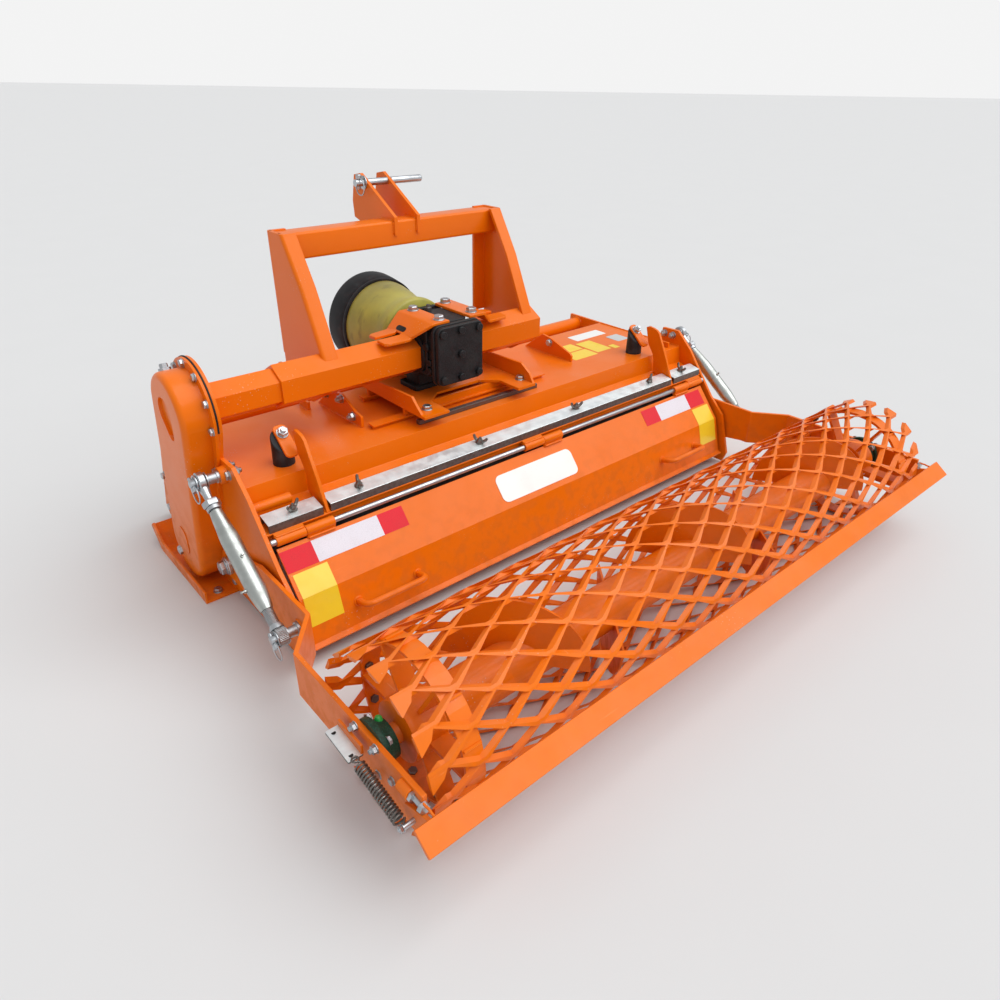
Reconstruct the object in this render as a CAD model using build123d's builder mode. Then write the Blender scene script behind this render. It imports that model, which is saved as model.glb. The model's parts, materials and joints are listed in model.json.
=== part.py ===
"""Stone burier: a mounted rotary machine with a rear door and a mesh roller behind it.

Millimetres. X runs across the machine to the right, Y forward to the tractor, Z up.
The origin is on the ground, below the middle of the machine's box.
Outlines are written as (y, z) with y measured forward from the rotor's axis.
"""

from build123d import *
import math
import os

os.makedirs("parts", exist_ok=True)

ROTOR_Y = 377.5             # rotor's axis ahead of the origin
RUN_GAP = 0.05              # radial clearance of every running fit
SEAT = 0.3                  # gap below a piece that only rests on another

# Housing
SIDE_OUT = 808.0            # outer face of each side plate from the middle plane
SIDE_T = 10.0
SIDE_IN = SIDE_OUT - SIDE_T
SIDE_BOTTOM = 8.0
HOOD_T = 5.0
DECK_REAR = (-252.0, 361.0)
DECK_FRONT = (122.0, 356.0)
HOOD_SHELF = (-262.0, 309.0)
HOOD_BREAK = (-300.0, 298.0)
HOOD_EDGE = (-352.0, 287.0)
HOOD_MOUTH = (215.0, 225.0)
FRONT_TUBE = (242.0, 325.0)
FRONT_TUBE_R = 25.0

# Rotor
ROTOR_Z = 183.0             # rotor's axis above the ground
TIP_R = 166.0               # blade tips
DISC_R = 100.0
BLADE_WIDE = 44.0
BLADE_T = 9.0
ROTOR_HALF = 788.0
ROTOR_TUBE_R = 45.0
SHAFT_STUB_R = 25.0
DISC_COUNT = 8
BLADES_EACH = 4

# Chain case and the beam that shares its upper axis
BEAM = (-92.0, 512.0)
BEAM_R = 48.0               # corner radius of the inner hexagonal tube
BEAM_WALL = 6.0
SLEEVE_R = 56.0
SLEEVE_LEFT_END = -621.0
SLEEVE_PAST = 10.0          # right sleeve stands out of the hitch frame
CASE_TOP_R = 92.0
CASE_LOW = (8.0, 112.0)
CASE_LOW_R = 92.0
CASE_OUT = 877.0
CASE_RIM = 22.0
CASE_FLANGE_T = 8.0
RECESS_DEEP = 7.0

# Gearbox and input shaft
GEAR_X = -141.0             # middle of the gearbox and of the hitch frame
GEAR_HALF = 78.0
GEAR_LOW = 446.0
GEAR_TOP = 606.0
GEAR_REAR = -215.0
COVER_T = 16.0
GEAR_FRONT = -20.0
NOSE_R = 47.0
NOSE_FRONT = 22.0
NOSE_FLANGE_R = 78.0
SHAFT_Z = 518.0
SPLINE_R = 17.4
SPLINE_FROM = 30.0
SPLINE_LONG = 88.0
JOURNAL_R = SPLINE_R + 6.0
GUARD_T = 3.0
GUARD_REAR_R = 84.0
GUARD_EDGE_Y = 152.0
GUARD_EDGE_R = 124.0
RING_FRONT = 205.0
RING_FRONT_R = 137.0
RING_T = 6.0

# Hitch frame
HITCH_HALF = 353.0          # outer face of each plate from the gearbox's middle
HITCH_T = 10.0
HITCH_TOP = 840.0
FLANGE_REAR = 41.0
FLANGE_FRONT = 49.0
CROSS_Y = 80.5
CROSS_Z = 795.5
CROSS_SIZE = 65.0
LOWER_PIN = (125.0, 460.0)
LOWER_PIN_R = 11.0
LOWER_PIN_OUT = 85.0
PIN_BOSS_R = 16.0
EAR_X = -118.0
EAR_HALF = 42.0             # outer face of each top link ear from their middle
EAR_T = 10.0
TOP_PIN = (184.0, 910.0)
TOP_PIN_R = 9.5
TOP_PIN_LEFT = -188.0
TOP_PIN_RIGHT = 28.0
CLIP_WIDE = 2.0

# Tray below the gearbox
TRAY_LEFT = -300.0
TRAY_RIGHT = 95.0
TRAY_Z = 392.0
TRAY_T = 8.0
TRAY_REAR = -262.0
TRAY_FRONT = 67.0

# Skids
SKID_OUT = 892.0
SKID_REAR = -115.0
SKID_FRONT = 205.0
SKID_T = 8.0

# Rear door
HINGE = (-361.0, 270.0)
HINGE_ROD_R = 7.0
BARREL_R = 12.0
BARREL_LONG = 72.0
FIXED_BARRELS = [-784.0, -37.0, 712.0]
DOOR_BARRELS = [-711.0, 36.0, 639.0]
DOOR_HALF = 787.0
DOOR_T = 5.0
DOOR_LINE = [(-366.0, 254.0), (-448.0, 159.0), (-479.0, 49.0), (-492.0, 44.0)]
HANDLE_FOOT = (-464.3, 102.0)
HANDLE_TIP = (-507.6, 114.2)
HANDLE_IN = 482.0
HANDLE_OUT = 651.0
HANDLE_R = 8.0

# Roller frame
ARM_PIVOT = (-138.0, 104.0)
ARM_END_R = 42.0
ARM_FRONT_OUT = 824.0
ARM_REAR_OUT = 898.0
ARM_T = 10.0
ARM_TOP = 210.0
ARM_LOW = 100.0
JOG_FRONT_Y = -557.0
JOG_REAR_Y = -648.0
ARM_REAR_Y = -1070.0
PIVOT_PIN_R = 15.0

# Turnbuckles
LINK_X = 867.0
LINK_LOW = (-518.0, 148.0)
LINK_TOP = (-198.0, 382.0)
LINK_PIN_R = 9.5
LINK_PIN_PAST = 14.0
EYE_R = 21.0
EYE_T = 20.0
EYE_PLAY = 1.2              # the lower eye hangs loose on its pin
EYE_NECK = EYE_R - 4.0
BARREL_FROM = 95.0          # wide part of the barrel, measured from the upper eye
BARREL_TO = 313.0
BARREL_BORE = 130.0
LINK_BARREL_R = 18.0
SCREW_R = 12.0
SCREW_INSIDE = 40.0

# Roller
ROLLER = (-907.0, 172.0)
ROLLER_R = 172.0
ROLLER_HALF = 881.0
MESH_SIDES = 32
MESH_T = 7.5
MESH_TILT = 50.0            # slant of the strands' flats from the radius
MESH_PITCH = 130.0
MESH_COUNT = 13
MESH_CUT = 22.0
STRAND = 5.5
TAB_X = 845.0               # where two strands merge into a tab
TAB_NECK = 10.0
TAB_LONG = 60.0
TAB_WIDE = 22.0
RIM_X = 790.0
RIM_WIDE = 40.0
RIM_T = 7.0
SPOKE_COUNT = 6
SPOKE_T = 8.0
CORE_R = 50.0
STUB_R = 20.0
BEARING_R = 52.0
FLIGHT_R = 150.0
FLIGHT_T = 5.0
FLIGHT_TILT = 38.0
FLIGHTS = [-560.0, -280.0, 0.0, 280.0, 560.0]

# Scraper
SCRAPER_HALF = 937.0
SCRAPER_BRACKET_T = 8.0
SPRING_R = 12.0
SPRING_LONG = 134.0
SPRING_X = 927.0

# Stone grid and its stops
GRID_HALF = 780.0
GRID_COUNT = 27
GRID_BAR = 12.0
STOP_X = 648.0              # outer face of each stop arm
STOP_T = 9.0
HEAD_WIDE = 44.0
HEAD_LOW = 430.0
HEAD_T = 8.0
BUFFER_Y = -188.0
BUFFER_R = 20.0
BUFFER_OFF = 26.0

SIDES = [("left", -1.0), ("right", 1.0)]


def side_plane(x):
    """Upright plane across the machine at x, drawn in (y from the rotor's axis, z)."""
    return Plane(origin=(x, ROTOR_Y, 0.0), x_dir=(0.0, 1.0, 0.0), z_dir=(1.0, 0.0, 0.0))


def back_plane(y):
    """Upright plane at y ahead of the rotor's axis, drawn in (x, z) and facing rearward."""
    return Plane(origin=(0.0, ROTOR_Y + y, 0.0), x_dir=(1.0, 0.0, 0.0), z_dir=(0.0, -1.0, 0.0))


def flat_plane(z):
    """Level plane at z, drawn in (x, y from the rotor's axis)."""
    return Plane(origin=(0.0, ROTOR_Y, z), x_dir=(1.0, 0.0, 0.0), z_dir=(0.0, 0.0, 1.0))


def deck_z(y):
    """Height just above the hood's deck at y."""
    share = (y - DECK_REAR[0]) / (DECK_FRONT[0] - DECK_REAR[0])
    return DECK_REAR[1] + share * (DECK_FRONT[1] - DECK_REAR[1]) + SEAT


# Side plates
with BuildPart() as side_plate_left:
    with BuildSketch(side_plane(-SIDE_OUT)):
        with BuildLine():
            Polyline(
                (BEAM[0] - 100.0, BEAM[1] - 54.0),
                (-176.0, 412.0),
                (-237.0, 412.0),
                (-296.0, 359.0),
                (-334.0, 312.0),
                (-405.0, 225.0),
                (-462.0, 172.0),
                (-504.0, 42.0),
                (-492.0, SIDE_BOTTOM),
                (372.0, SIDE_BOTTOM),
                (388.0, 39.0),
                (281.0, 313.0),
                (278.0, 357.0),
                (75.0, 357.0),
                (BEAM[0] + 104.0, BEAM[1] - 46.0),
            )
            ThreePointArc(
                (BEAM[0] + 104.0, BEAM[1] - 46.0),
                (BEAM[0], BEAM[1] + CASE_TOP_R + CASE_RIM),
                (BEAM[0] - 100.0, BEAM[1] - 54.0),
            )
        make_face()
        with Locations((0.0, ROTOR_Z)):
            Circle(SHAFT_STUB_R + 20.0, mode=Mode.SUBTRACT)
    extrude(amount=SIDE_T)
side_plate_left.part.label = "side_plate_left"
export_step(side_plate_left.part, "parts/side_plate_left.step")

with BuildPart() as side_plate_right:
    with BuildSketch(side_plane(SIDE_IN)):
        with BuildLine():
            Polyline(
                (-165.0, 357.0),
                (-172.0, 410.0),
                (-237.0, 412.0),
                (-296.0, 359.0),
                (-334.0, 312.0),
                (-405.0, 225.0),
                (-462.0, 172.0),
                (-504.0, 42.0),
                (-492.0, SIDE_BOTTOM),
                (372.0, SIDE_BOTTOM),
                (388.0, 39.0),
                (281.0, 313.0),
                (278.0, 357.0),
                close=True,
            )
        make_face()
        with Locations((0.0, ROTOR_Z)):
            Circle(SHAFT_STUB_R + 20.0, mode=Mode.SUBTRACT)
    extrude(amount=SIDE_T)
side_plate_right.part.label = "side_plate_right"
export_step(side_plate_right.part, "parts/side_plate_right.step")

# Hood: one folded sheet from its front mouth to the door's hinge line
with BuildPart() as hood:
    with BuildSketch(side_plane(-SIDE_IN)):
        with BuildLine():
            Polyline(HOOD_MOUTH, DECK_FRONT, DECK_REAR, HOOD_SHELF, HOOD_BREAK, HOOD_EDGE)
            offset(amount=HOOD_T, side=Side.LEFT)
        make_face()
    extrude(amount=2.0 * SIDE_IN)
hood.part.label = "hood"
export_step(hood.part, "parts/hood.step")

# Round tube that ties the side plates together ahead of the hood
with BuildPart() as front_tube:
    with BuildSketch(side_plane(-SIDE_IN)):
        with Locations(FRONT_TUBE):
            Circle(FRONT_TUBE_R)
            Circle(FRONT_TUBE_R - 5.0, mode=Mode.SUBTRACT)
    extrude(amount=2.0 * SIDE_IN)
front_tube.part.label = "front_tube"
export_step(front_tube.part, "parts/front_tube.step")

# Lugs and gussets that stand on the deck
LUGS = [
    (-465.0, [(64.0, 380.0), (118.0, 380.0)], (64.0, 118.0)),
    (-415.0, [(-134.0, 390.0), (-105.0, 395.0), (-39.0, 425.0), (22.0, 417.0)], (-134.0, 100.0)),
    (388.0, [(-122.0, 378.0), (-116.0, 384.0), (-28.0, 413.0), (16.0, 419.0)], (-122.0, 100.0)),
    (752.0, [(-236.0, 378.0), (-180.0, 378.0)], (-236.0, -180.0)),
]
with BuildPart() as hood_gussets:
    for x, crest, (rear, front) in LUGS:
        with BuildSketch(side_plane(x)):
            with BuildLine():
                Polyline((rear, deck_z(rear)), *crest, (front, deck_z(front)), close=True)
            make_face()
        extrude(amount=8.0)
hood_gussets.part.label = "hood_gussets"
export_step(hood_gussets.part, "parts/hood_gussets.step")

# Inner hexagonal tube from the left side plate to the gearbox; it houses the drive shaft
with BuildPart() as beam_tube:
    with BuildSketch(side_plane(-SIDE_IN)):
        with Locations(BEAM):
            RegularPolygon(BEAM_R, 6, rotation=90.0)
            RegularPolygon(BEAM_R - BEAM_WALL, 6, rotation=90.0, mode=Mode.SUBTRACT)
    extrude(amount=SIDE_IN + GEAR_X - GEAR_HALF)
beam_tube.part.label = "beam_tube"
export_step(beam_tube.part, "parts/beam_tube.step")

# Hexagonal sleeves that carry the hitch frame, one on each side of the gearbox
SLEEVES = [
    (SLEEVE_LEFT_END, GEAR_X - GEAR_HALF),
    (GEAR_X + GEAR_HALF, GEAR_X + HITCH_HALF + SLEEVE_PAST),
]
with BuildPart() as beam_sleeves:
    for start, end in SLEEVES:
        with BuildSketch(side_plane(start)):
            with Locations(BEAM):
                RegularPolygon(SLEEVE_R, 6, rotation=90.0)
                RegularPolygon(BEAM_R, 6, rotation=90.0, mode=Mode.SUBTRACT)
        extrude(amount=end - start)
beam_sleeves.part.label = "beam_sleeves"
export_step(beam_sleeves.part, "parts/beam_sleeves.step")

# Hitch frame: two folded side plates that close the ends of a square tube, drawn solid
HITCH_PLATES = [
    (GEAR_X - HITCH_HALF, 1.0),
    (GEAR_X + HITCH_HALF, -1.0),
]
with BuildPart() as hitch_frame:
    for outer, inward in HITCH_PLATES:
        with BuildSketch(side_plane(outer)):
            with BuildLine():
                Polyline(
                    (30.0, HITCH_TOP),
                    (112.0, HITCH_TOP),
                    (112.0, 502.0),
                    (158.0, 486.0),
                    (158.0, 425.0),
                    (60.0, 412.0),
                    (-60.0, 416.0),
                    (-126.0, 438.0),
                    (-158.0, 478.0),
                    (-158.0, 540.0),
                    (-105.0, 579.0),
                    (-40.0, 714.0),
                    close=True,
                )
            make_face()
            with Locations(BEAM):
                RegularPolygon(SLEEVE_R, 6, rotation=90.0, mode=Mode.SUBTRACT)
            with Locations(LOWER_PIN):
                Circle(PIN_BOSS_R, mode=Mode.SUBTRACT)
        extrude(amount=inward * HITCH_T)
        with BuildSketch(side_plane(outer)):
            with BuildLine():
                Polyline(
                    (30.0, HITCH_TOP),
                    (40.0, HITCH_TOP),
                    (-30.0, 714.0),
                    (-96.0, 577.0),
                    (-105.0, 579.0),
                    (-40.0, 714.0),
                    close=True,
                )
            make_face()
        extrude(amount=inward * FLANGE_REAR)
        with BuildSketch(side_plane(outer)):
            with Locations((107.0, (HITCH_TOP + 520.0) / 2.0)):
                Rectangle(10.0, HITCH_TOP - 520.0)
        extrude(amount=inward * FLANGE_FRONT)
    with BuildSketch(side_plane(GEAR_X - HITCH_HALF + HITCH_T)):
        with Locations((CROSS_Y, CROSS_Z)):
            Rectangle(CROSS_SIZE, CROSS_SIZE)
    extrude(amount=2.0 * (HITCH_HALF - HITCH_T))
hitch_frame.part.label = "hitch_frame"
export_step(hitch_frame.part, "parts/hitch_frame.step")

# Ears for the top link, one plate on each side of its eye
CROSS_TOP = CROSS_Z + CROSS_SIZE / 2.0
CROSS_FRONT = CROSS_Y + CROSS_SIZE / 2.0
CROSS_REAR = CROSS_Y - CROSS_SIZE / 2.0
with BuildPart() as top_link_ears:
    for x in (EAR_X - EAR_HALF, EAR_X + EAR_HALF - EAR_T):
        with BuildSketch(side_plane(x)):
            with BuildLine():
                Polyline(
                    (CROSS_REAR - 6.0, 791.0),
                    (CROSS_REAR - 6.0, 838.0),
                    (59.0, 848.0),
                    (202.0, 932.0),
                    (234.0, 926.0),
                    (251.0, 857.0),
                    (247.0, 814.0),
                    (CROSS_FRONT, 774.0),
                    (CROSS_FRONT, CROSS_TOP),
                    (CROSS_REAR, CROSS_TOP),
                    (CROSS_REAR, 791.0),
                    close=True,
                )
            make_face()
            with Locations(TOP_PIN):
                Circle(TOP_PIN_R, mode=Mode.SUBTRACT)
        extrude(amount=EAR_T)
top_link_ears.part.label = "top_link_ears"
export_step(top_link_ears.part, "parts/top_link_ears.step")

# Top link pin, held by a clip in the groove beside the right ear
CLIP_FROM = EAR_X + EAR_HALF + 1.0
with BuildPart() as top_link_pin:
    with BuildSketch(side_plane(TOP_PIN_LEFT)):
        with Locations(TOP_PIN):
            Circle(TOP_PIN_R)
    extrude(amount=TOP_PIN_RIGHT - TOP_PIN_LEFT)
    with BuildSketch(side_plane(CLIP_FROM)):
        with Locations(TOP_PIN):
            Circle(TOP_PIN_R + 2.0)
            Circle(TOP_PIN_R - 1.5, mode=Mode.SUBTRACT)
    extrude(amount=CLIP_WIDE, mode=Mode.SUBTRACT)
top_link_pin.part.label = "top_link_pin"
export_step(top_link_pin.part, "parts/top_link_pin.step")

# Lower link pins, each welded through its plate by a boss
with BuildPart() as lower_link_pins:
    for outer, inward in HITCH_PLATES:
        with BuildSketch(side_plane(outer)):
            with Locations(LOWER_PIN):
                Circle(PIN_BOSS_R)
        extrude(amount=inward * (HITCH_T + 12.0))
        with BuildSketch(side_plane(outer)):
            with Locations(LOWER_PIN):
                Circle(LOWER_PIN_R)
        extrude(amount=-inward * LOWER_PIN_OUT)
lower_link_pins.part.label = "lower_link_pins"
export_step(lower_link_pins.part, "parts/lower_link_pins.step")

# Gearbox: cast housing with its rear cover, foot, ribs and front nose
with BuildPart() as gearbox:
    with BuildSketch(back_plane(GEAR_FRONT)):
        with Locations((GEAR_X, (GEAR_LOW + GEAR_TOP) / 2.0)):
            RectangleRounded(2.0 * GEAR_HALF - 12.0, GEAR_TOP - GEAR_LOW, 26.0)
    extrude(amount=GEAR_FRONT - GEAR_REAR - COVER_T)
    with BuildSketch(back_plane(GEAR_REAR + COVER_T + 14.0)):
        with Locations((GEAR_X, (GEAR_LOW + GEAR_TOP) / 2.0)):
            RectangleRounded(2.0 * GEAR_HALF, GEAR_TOP - GEAR_LOW, 30.0)
    extrude(amount=14.0)
    with BuildSketch(back_plane(GEAR_REAR + COVER_T)):
        with Locations((GEAR_X, (GEAR_LOW + GEAR_TOP) / 2.0)):
            RectangleRounded(2.0 * GEAR_HALF - 8.0, GEAR_TOP - GEAR_LOW - 8.0, 28.0)
    extrude(amount=COVER_T)
    fillet(gearbox.faces().sort_by(Axis.Y)[0].edges(), radius=5.0)
    with BuildSketch(back_plane(-40.0)):
        with Locations((GEAR_X, (TRAY_Z + TRAY_T + GEAR_LOW + 20.0) / 2.0)):
            Rectangle(112.0, GEAR_LOW + 20.0 - TRAY_Z - TRAY_T)
    extrude(amount=125.0)
    with BuildSketch(side_plane(GEAR_X - GEAR_HALF)):
        with Locations(BEAM):
            Circle(62.0)
    extrude(amount=2.0 * GEAR_HALF)
    with BuildSketch(back_plane(NOSE_FRONT)):
        with Locations((GEAR_X, SHAFT_Z)):
            Circle(NOSE_R)
    extrude(amount=NOSE_FRONT - GEAR_FRONT)
    with BuildSketch(back_plane(NOSE_FRONT)):
        with Locations((GEAR_X, SHAFT_Z)):
            Circle(NOSE_FLANGE_R)
    extrude(amount=10.0)
    with BuildSketch(back_plane(NOSE_FRONT)):
        with Locations((GEAR_X, SHAFT_Z)):
            Circle(JOURNAL_R + RUN_GAP)
    extrude(amount=44.0, mode=Mode.SUBTRACT)
gearbox.part.label = "gearbox"
export_step(gearbox.part, "parts/gearbox.step")

# Input shaft: journal in the nose, then six splines
with BuildPart() as input_shaft:
    with BuildSketch(back_plane(SPLINE_FROM)):
        with Locations((GEAR_X, SHAFT_Z)):
            Circle(JOURNAL_R)
    extrude(amount=46.0)
    with BuildSketch(back_plane(SPLINE_FROM)):
        with Locations((GEAR_X, SHAFT_Z)):
            Circle(SPLINE_R)
            with PolarLocations(SPLINE_R, 6):
                Rectangle(5.0, 8.6, mode=Mode.SUBTRACT)
    extrude(amount=-SPLINE_LONG)
input_shaft.part.label = "input_shaft"
export_step(input_shaft.part, "parts/input_shaft.step")

# Bell guard over the input shaft, with a soft ring at its mouth
GUARD_AXIS = Axis((GEAR_X, ROTOR_Y, SHAFT_Z), (0.0, 1.0, 0.0))
with BuildPart() as shaft_guard:
    with BuildSketch(flat_plane(SHAFT_Z)):
        with BuildLine():
            bell = Spline(
                (GEAR_X + GUARD_REAR_R, NOSE_FRONT),
                (GEAR_X + 105.0, 62.0),
                (GEAR_X + GUARD_EDGE_R, GUARD_EDGE_Y),
                tangents=[(0.35, 1.0), (0.06, 1.0)],
            )
            Line(bell @ 1, (GEAR_X + GUARD_EDGE_R - GUARD_T, GUARD_EDGE_Y))
            inner = Spline(
                (GEAR_X + GUARD_EDGE_R - GUARD_T, GUARD_EDGE_Y),
                (GEAR_X + 102.0, 64.0),
                (GEAR_X + GUARD_REAR_R - 5.0, NOSE_FRONT + GUARD_T),
                tangents=[(-0.06, -1.0), (-0.35, -1.0)],
            )
            Line(inner @ 1, (GEAR_X + 60.0, NOSE_FRONT + GUARD_T))
            Line((GEAR_X + 60.0, NOSE_FRONT + GUARD_T), (GEAR_X + 60.0, NOSE_FRONT))
            Line((GEAR_X + 60.0, NOSE_FRONT), bell @ 0)
        make_face()
    revolve(axis=GUARD_AXIS)
shaft_guard.part.label = "shaft_guard"
export_step(shaft_guard.part, "parts/shaft_guard.step")

with BuildPart() as guard_ring:
    with BuildSketch(flat_plane(SHAFT_Z)):
        with BuildLine():
            Polyline(
                (GEAR_X + GUARD_EDGE_R, GUARD_EDGE_Y - 14.0),
                (GEAR_X + GUARD_EDGE_R + RING_T, GUARD_EDGE_Y - 14.0),
                (GEAR_X + RING_FRONT_R, RING_FRONT),
                (GEAR_X + RING_FRONT_R - RING_T, RING_FRONT),
                (GEAR_X + GUARD_EDGE_R, GUARD_EDGE_Y + 1.0),
                close=True,
            )
        make_face()
    revolve(axis=GUARD_AXIS)
guard_ring.part.label = "guard_ring"
export_step(guard_ring.part, "parts/guard_ring.step")

# Bent brackets from the gearbox's top down to the sleeves, saddled on their ridges
BRACKETS = [
    (-1.0, 114.0, 194.0, -140.0, -10.0),
    (1.0, 188.0, 292.0, -150.0, -40.0),
]
with BuildPart() as gearbox_brackets:
    for way, knee, tip, rear, front in BRACKETS:
        ridge = BEAM[1] + SLEEVE_R
        with BuildSketch(back_plane(front)):
            with BuildLine():
                Polyline(
                    (GEAR_X + way * 22.0, GEAR_TOP),
                    (GEAR_X + way * GEAR_HALF, GEAR_TOP),
                    (GEAR_X + way * knee, ridge - 12.0),
                    (GEAR_X + way * tip, ridge - 12.0),
                    (GEAR_X + way * tip, ridge + 6.0),
                    (GEAR_X + way * (knee + 5.0), ridge + 6.0),
                    (GEAR_X + way * (GEAR_HALF + 4.0), GEAR_TOP + 8.0),
                    (GEAR_X + way * 22.0, GEAR_TOP + 8.0),
                    close=True,
                )
            make_face()
        extrude(amount=front - rear)
    with BuildSketch(side_plane(SLEEVE_LEFT_END)):
        with Locations(BEAM):
            RegularPolygon(SLEEVE_R, 6, rotation=90.0)
    extrude(amount=GEAR_X + HITCH_HALF - SLEEVE_LEFT_END, mode=Mode.SUBTRACT)
gearbox_brackets.part.label = "gearbox_brackets"
export_step(gearbox_brackets.part, "parts/gearbox_brackets.step")

# Tray below the gearbox, with folded sides and an arched rear edge
TRAY_SIDES = [
    (TRAY_LEFT, [(-245.0, 402.0), (-232.0, 412.0), (-203.0, 439.0), (-3.0, 432.0), (TRAY_FRONT, TRAY_Z)]),
    (
        TRAY_RIGHT - TRAY_T,
        [(-259.0, 398.0), (-240.0, 425.0), (-205.0, 446.0), (-36.0, 438.0), (TRAY_FRONT, TRAY_Z)],
    ),
]
with BuildPart() as gearbox_tray:
    with BuildSketch(flat_plane(TRAY_Z)):
        with BuildLine():
            Polyline(
                (TRAY_LEFT, TRAY_FRONT),
                (TRAY_LEFT, TRAY_REAR),
                (-219.0, TRAY_REAR),
                (-219.0, -180.0),
                (-170.0, -140.0),
                (-20.0, -140.0),
                (28.0, -180.0),
                (28.0, TRAY_REAR),
                (TRAY_RIGHT, TRAY_REAR),
                (TRAY_RIGHT, TRAY_FRONT),
                close=True,
            )
        make_face()
    extrude(amount=TRAY_T)
    for start, crest in TRAY_SIDES:
        with BuildSketch(side_plane(start)):
            with BuildLine():
                Polyline((crest[0][0], TRAY_Z), *crest, close=True)
            make_face()
        extrude(amount=TRAY_T)
gearbox_tray.part.label = "gearbox_tray"
export_step(gearbox_tray.part, "parts/gearbox_tray.step")

# Rails on the deck that carry the tray, and the steel bar it is shifted along
RAILS = [
    (-400.0, 234.0, -171.0, -142.0),
    (-320.0, 120.0, 10.0, 38.0),
]
with BuildPart() as slide_rails:
    for left, right, rear, front in RAILS:
        with BuildSketch(side_plane(left)):
            with BuildLine():
                Polyline(
                    (rear, deck_z(rear)),
                    (rear, TRAY_Z - SEAT),
                    (front, TRAY_Z - SEAT),
                    (front, TRAY_Z - 9.0),
                    (rear + 9.0, TRAY_Z - 9.0),
                    (rear + 9.0, deck_z(rear + 9.0)),
                    close=True,
                )
            make_face()
        extrude(amount=right - left)
slide_rails.part.label = "slide_rails"
export_step(slide_rails.part, "parts/slide_rails.step")

with BuildPart() as slide_bar:
    with BuildSketch(side_plane(-289.0)):
        with BuildLine():
            Polyline(
                (-221.0, deck_z(-221.0)),
                (-221.0, 374.0),
                (-205.0, 374.0),
                (-205.0, deck_z(-205.0)),
                close=True,
            )
        make_face()
    extrude(amount=431.0)
slide_bar.part.label = "slide_bar"
export_step(slide_bar.part, "parts/slide_bar.step")

# Chain case on the left side plate: flange and hollow cover in one
with BuildPart() as chain_case:
    with BuildSketch(side_plane(-SIDE_OUT)):
        with Locations(BEAM):
            Circle(CASE_TOP_R + CASE_RIM)
        with Locations(CASE_LOW):
            Circle(CASE_LOW_R)
        make_hull()
    extrude(amount=-CASE_FLANGE_T)
    with BuildSketch(side_plane(-SIDE_OUT - CASE_FLANGE_T)):
        with Locations(BEAM):
            Circle(CASE_TOP_R)
        with Locations(CASE_LOW):
            Circle(CASE_LOW_R)
        make_hull()
    extrude(amount=-(CASE_OUT - SIDE_OUT - CASE_FLANGE_T))
    fillet(chain_case.faces().sort_by(Axis.X)[0].edges(), radius=14.0)
    with BuildSketch(side_plane(-CASE_OUT)):
        with Locations((BEAM[0] + 8.0, BEAM[1])):
            Circle(36.0)
        with Locations((BEAM[0] - 4.0, BEAM[1] - 46.0)):
            Circle(18.0)
        make_hull()
    extrude(amount=RECESS_DEEP, mode=Mode.SUBTRACT)
    with BuildSketch(side_plane(-SIDE_OUT)):
        with Locations((0.0, ROTOR_Z)):
            Circle(SHAFT_STUB_R + RUN_GAP)
    extrude(amount=-40.0, mode=Mode.SUBTRACT)
chain_case.part.label = "chain_case"
export_step(chain_case.part, "parts/chain_case.step")

# Skids, one shoe under each side
with BuildPart() as skids:
    for side, sign in SIDES:
        with BuildSketch(side_plane(sign * SIDE_IN)):
            with BuildLine():
                Polyline(
                    (SKID_REAR, 0.0),
                    (SKID_FRONT, 0.0),
                    (SKID_FRONT, SKID_T),
                    (SKID_REAR, SKID_T),
                    close=True,
                )
            make_face()
        extrude(amount=sign * (SKID_OUT - SIDE_IN))
        with BuildSketch(side_plane(sign * SIDE_OUT)):
            with BuildLine():
                Polyline(
                    (SKID_FRONT - 10.0, 0.0),
                    (SKID_FRONT, 0.0),
                    (SKID_FRONT + 50.0, 58.0),
                    (SKID_FRONT + 43.0, 64.0),
                    (SKID_FRONT - 4.0, SKID_T),
                    (SKID_FRONT - 10.0, SKID_T),
                    close=True,
                )
            make_face()
        extrude(amount=sign * (SKID_OUT - SIDE_OUT))
        with BuildSketch(side_plane(sign * (SKID_OUT - 6.0))):
            with BuildLine():
                Polyline(
                    (SKID_REAR, SKID_T),
                    (SKID_FRONT - 4.0, SKID_T),
                    (SKID_FRONT + 43.0, 64.0),
                    (SKID_FRONT + 30.0, 74.0),
                    (SKID_FRONT - 20.0, 34.0),
                    (SKID_REAR, 34.0),
                    close=True,
                )
            make_face()
        extrude(amount=sign * 6.0)
skids.part.label = "skids"
export_step(skids.part, "parts/skids.step")

# Bearing hub of the rotor on the right side plate
with BuildPart() as rotor_bearing:
    with BuildSketch(side_plane(SIDE_OUT)):
        with Locations((0.0, ROTOR_Z)):
            Circle(75.0)
            Circle(SHAFT_STUB_R + RUN_GAP, mode=Mode.SUBTRACT)
    extrude(amount=12.0)
    with BuildSketch(side_plane(SIDE_OUT + 12.0)):
        with Locations((0.0, ROTOR_Z)):
            Circle(48.0)
    extrude(amount=26.0)
    with BuildSketch(side_plane(SIDE_OUT + 12.0)):
        with Locations((0.0, ROTOR_Z)):
            Circle(SHAFT_STUB_R + RUN_GAP)
    extrude(amount=16.0, mode=Mode.SUBTRACT)
rotor_bearing.part.label = "rotor_bearing"
export_step(rotor_bearing.part, "parts/rotor_bearing.step")

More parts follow.
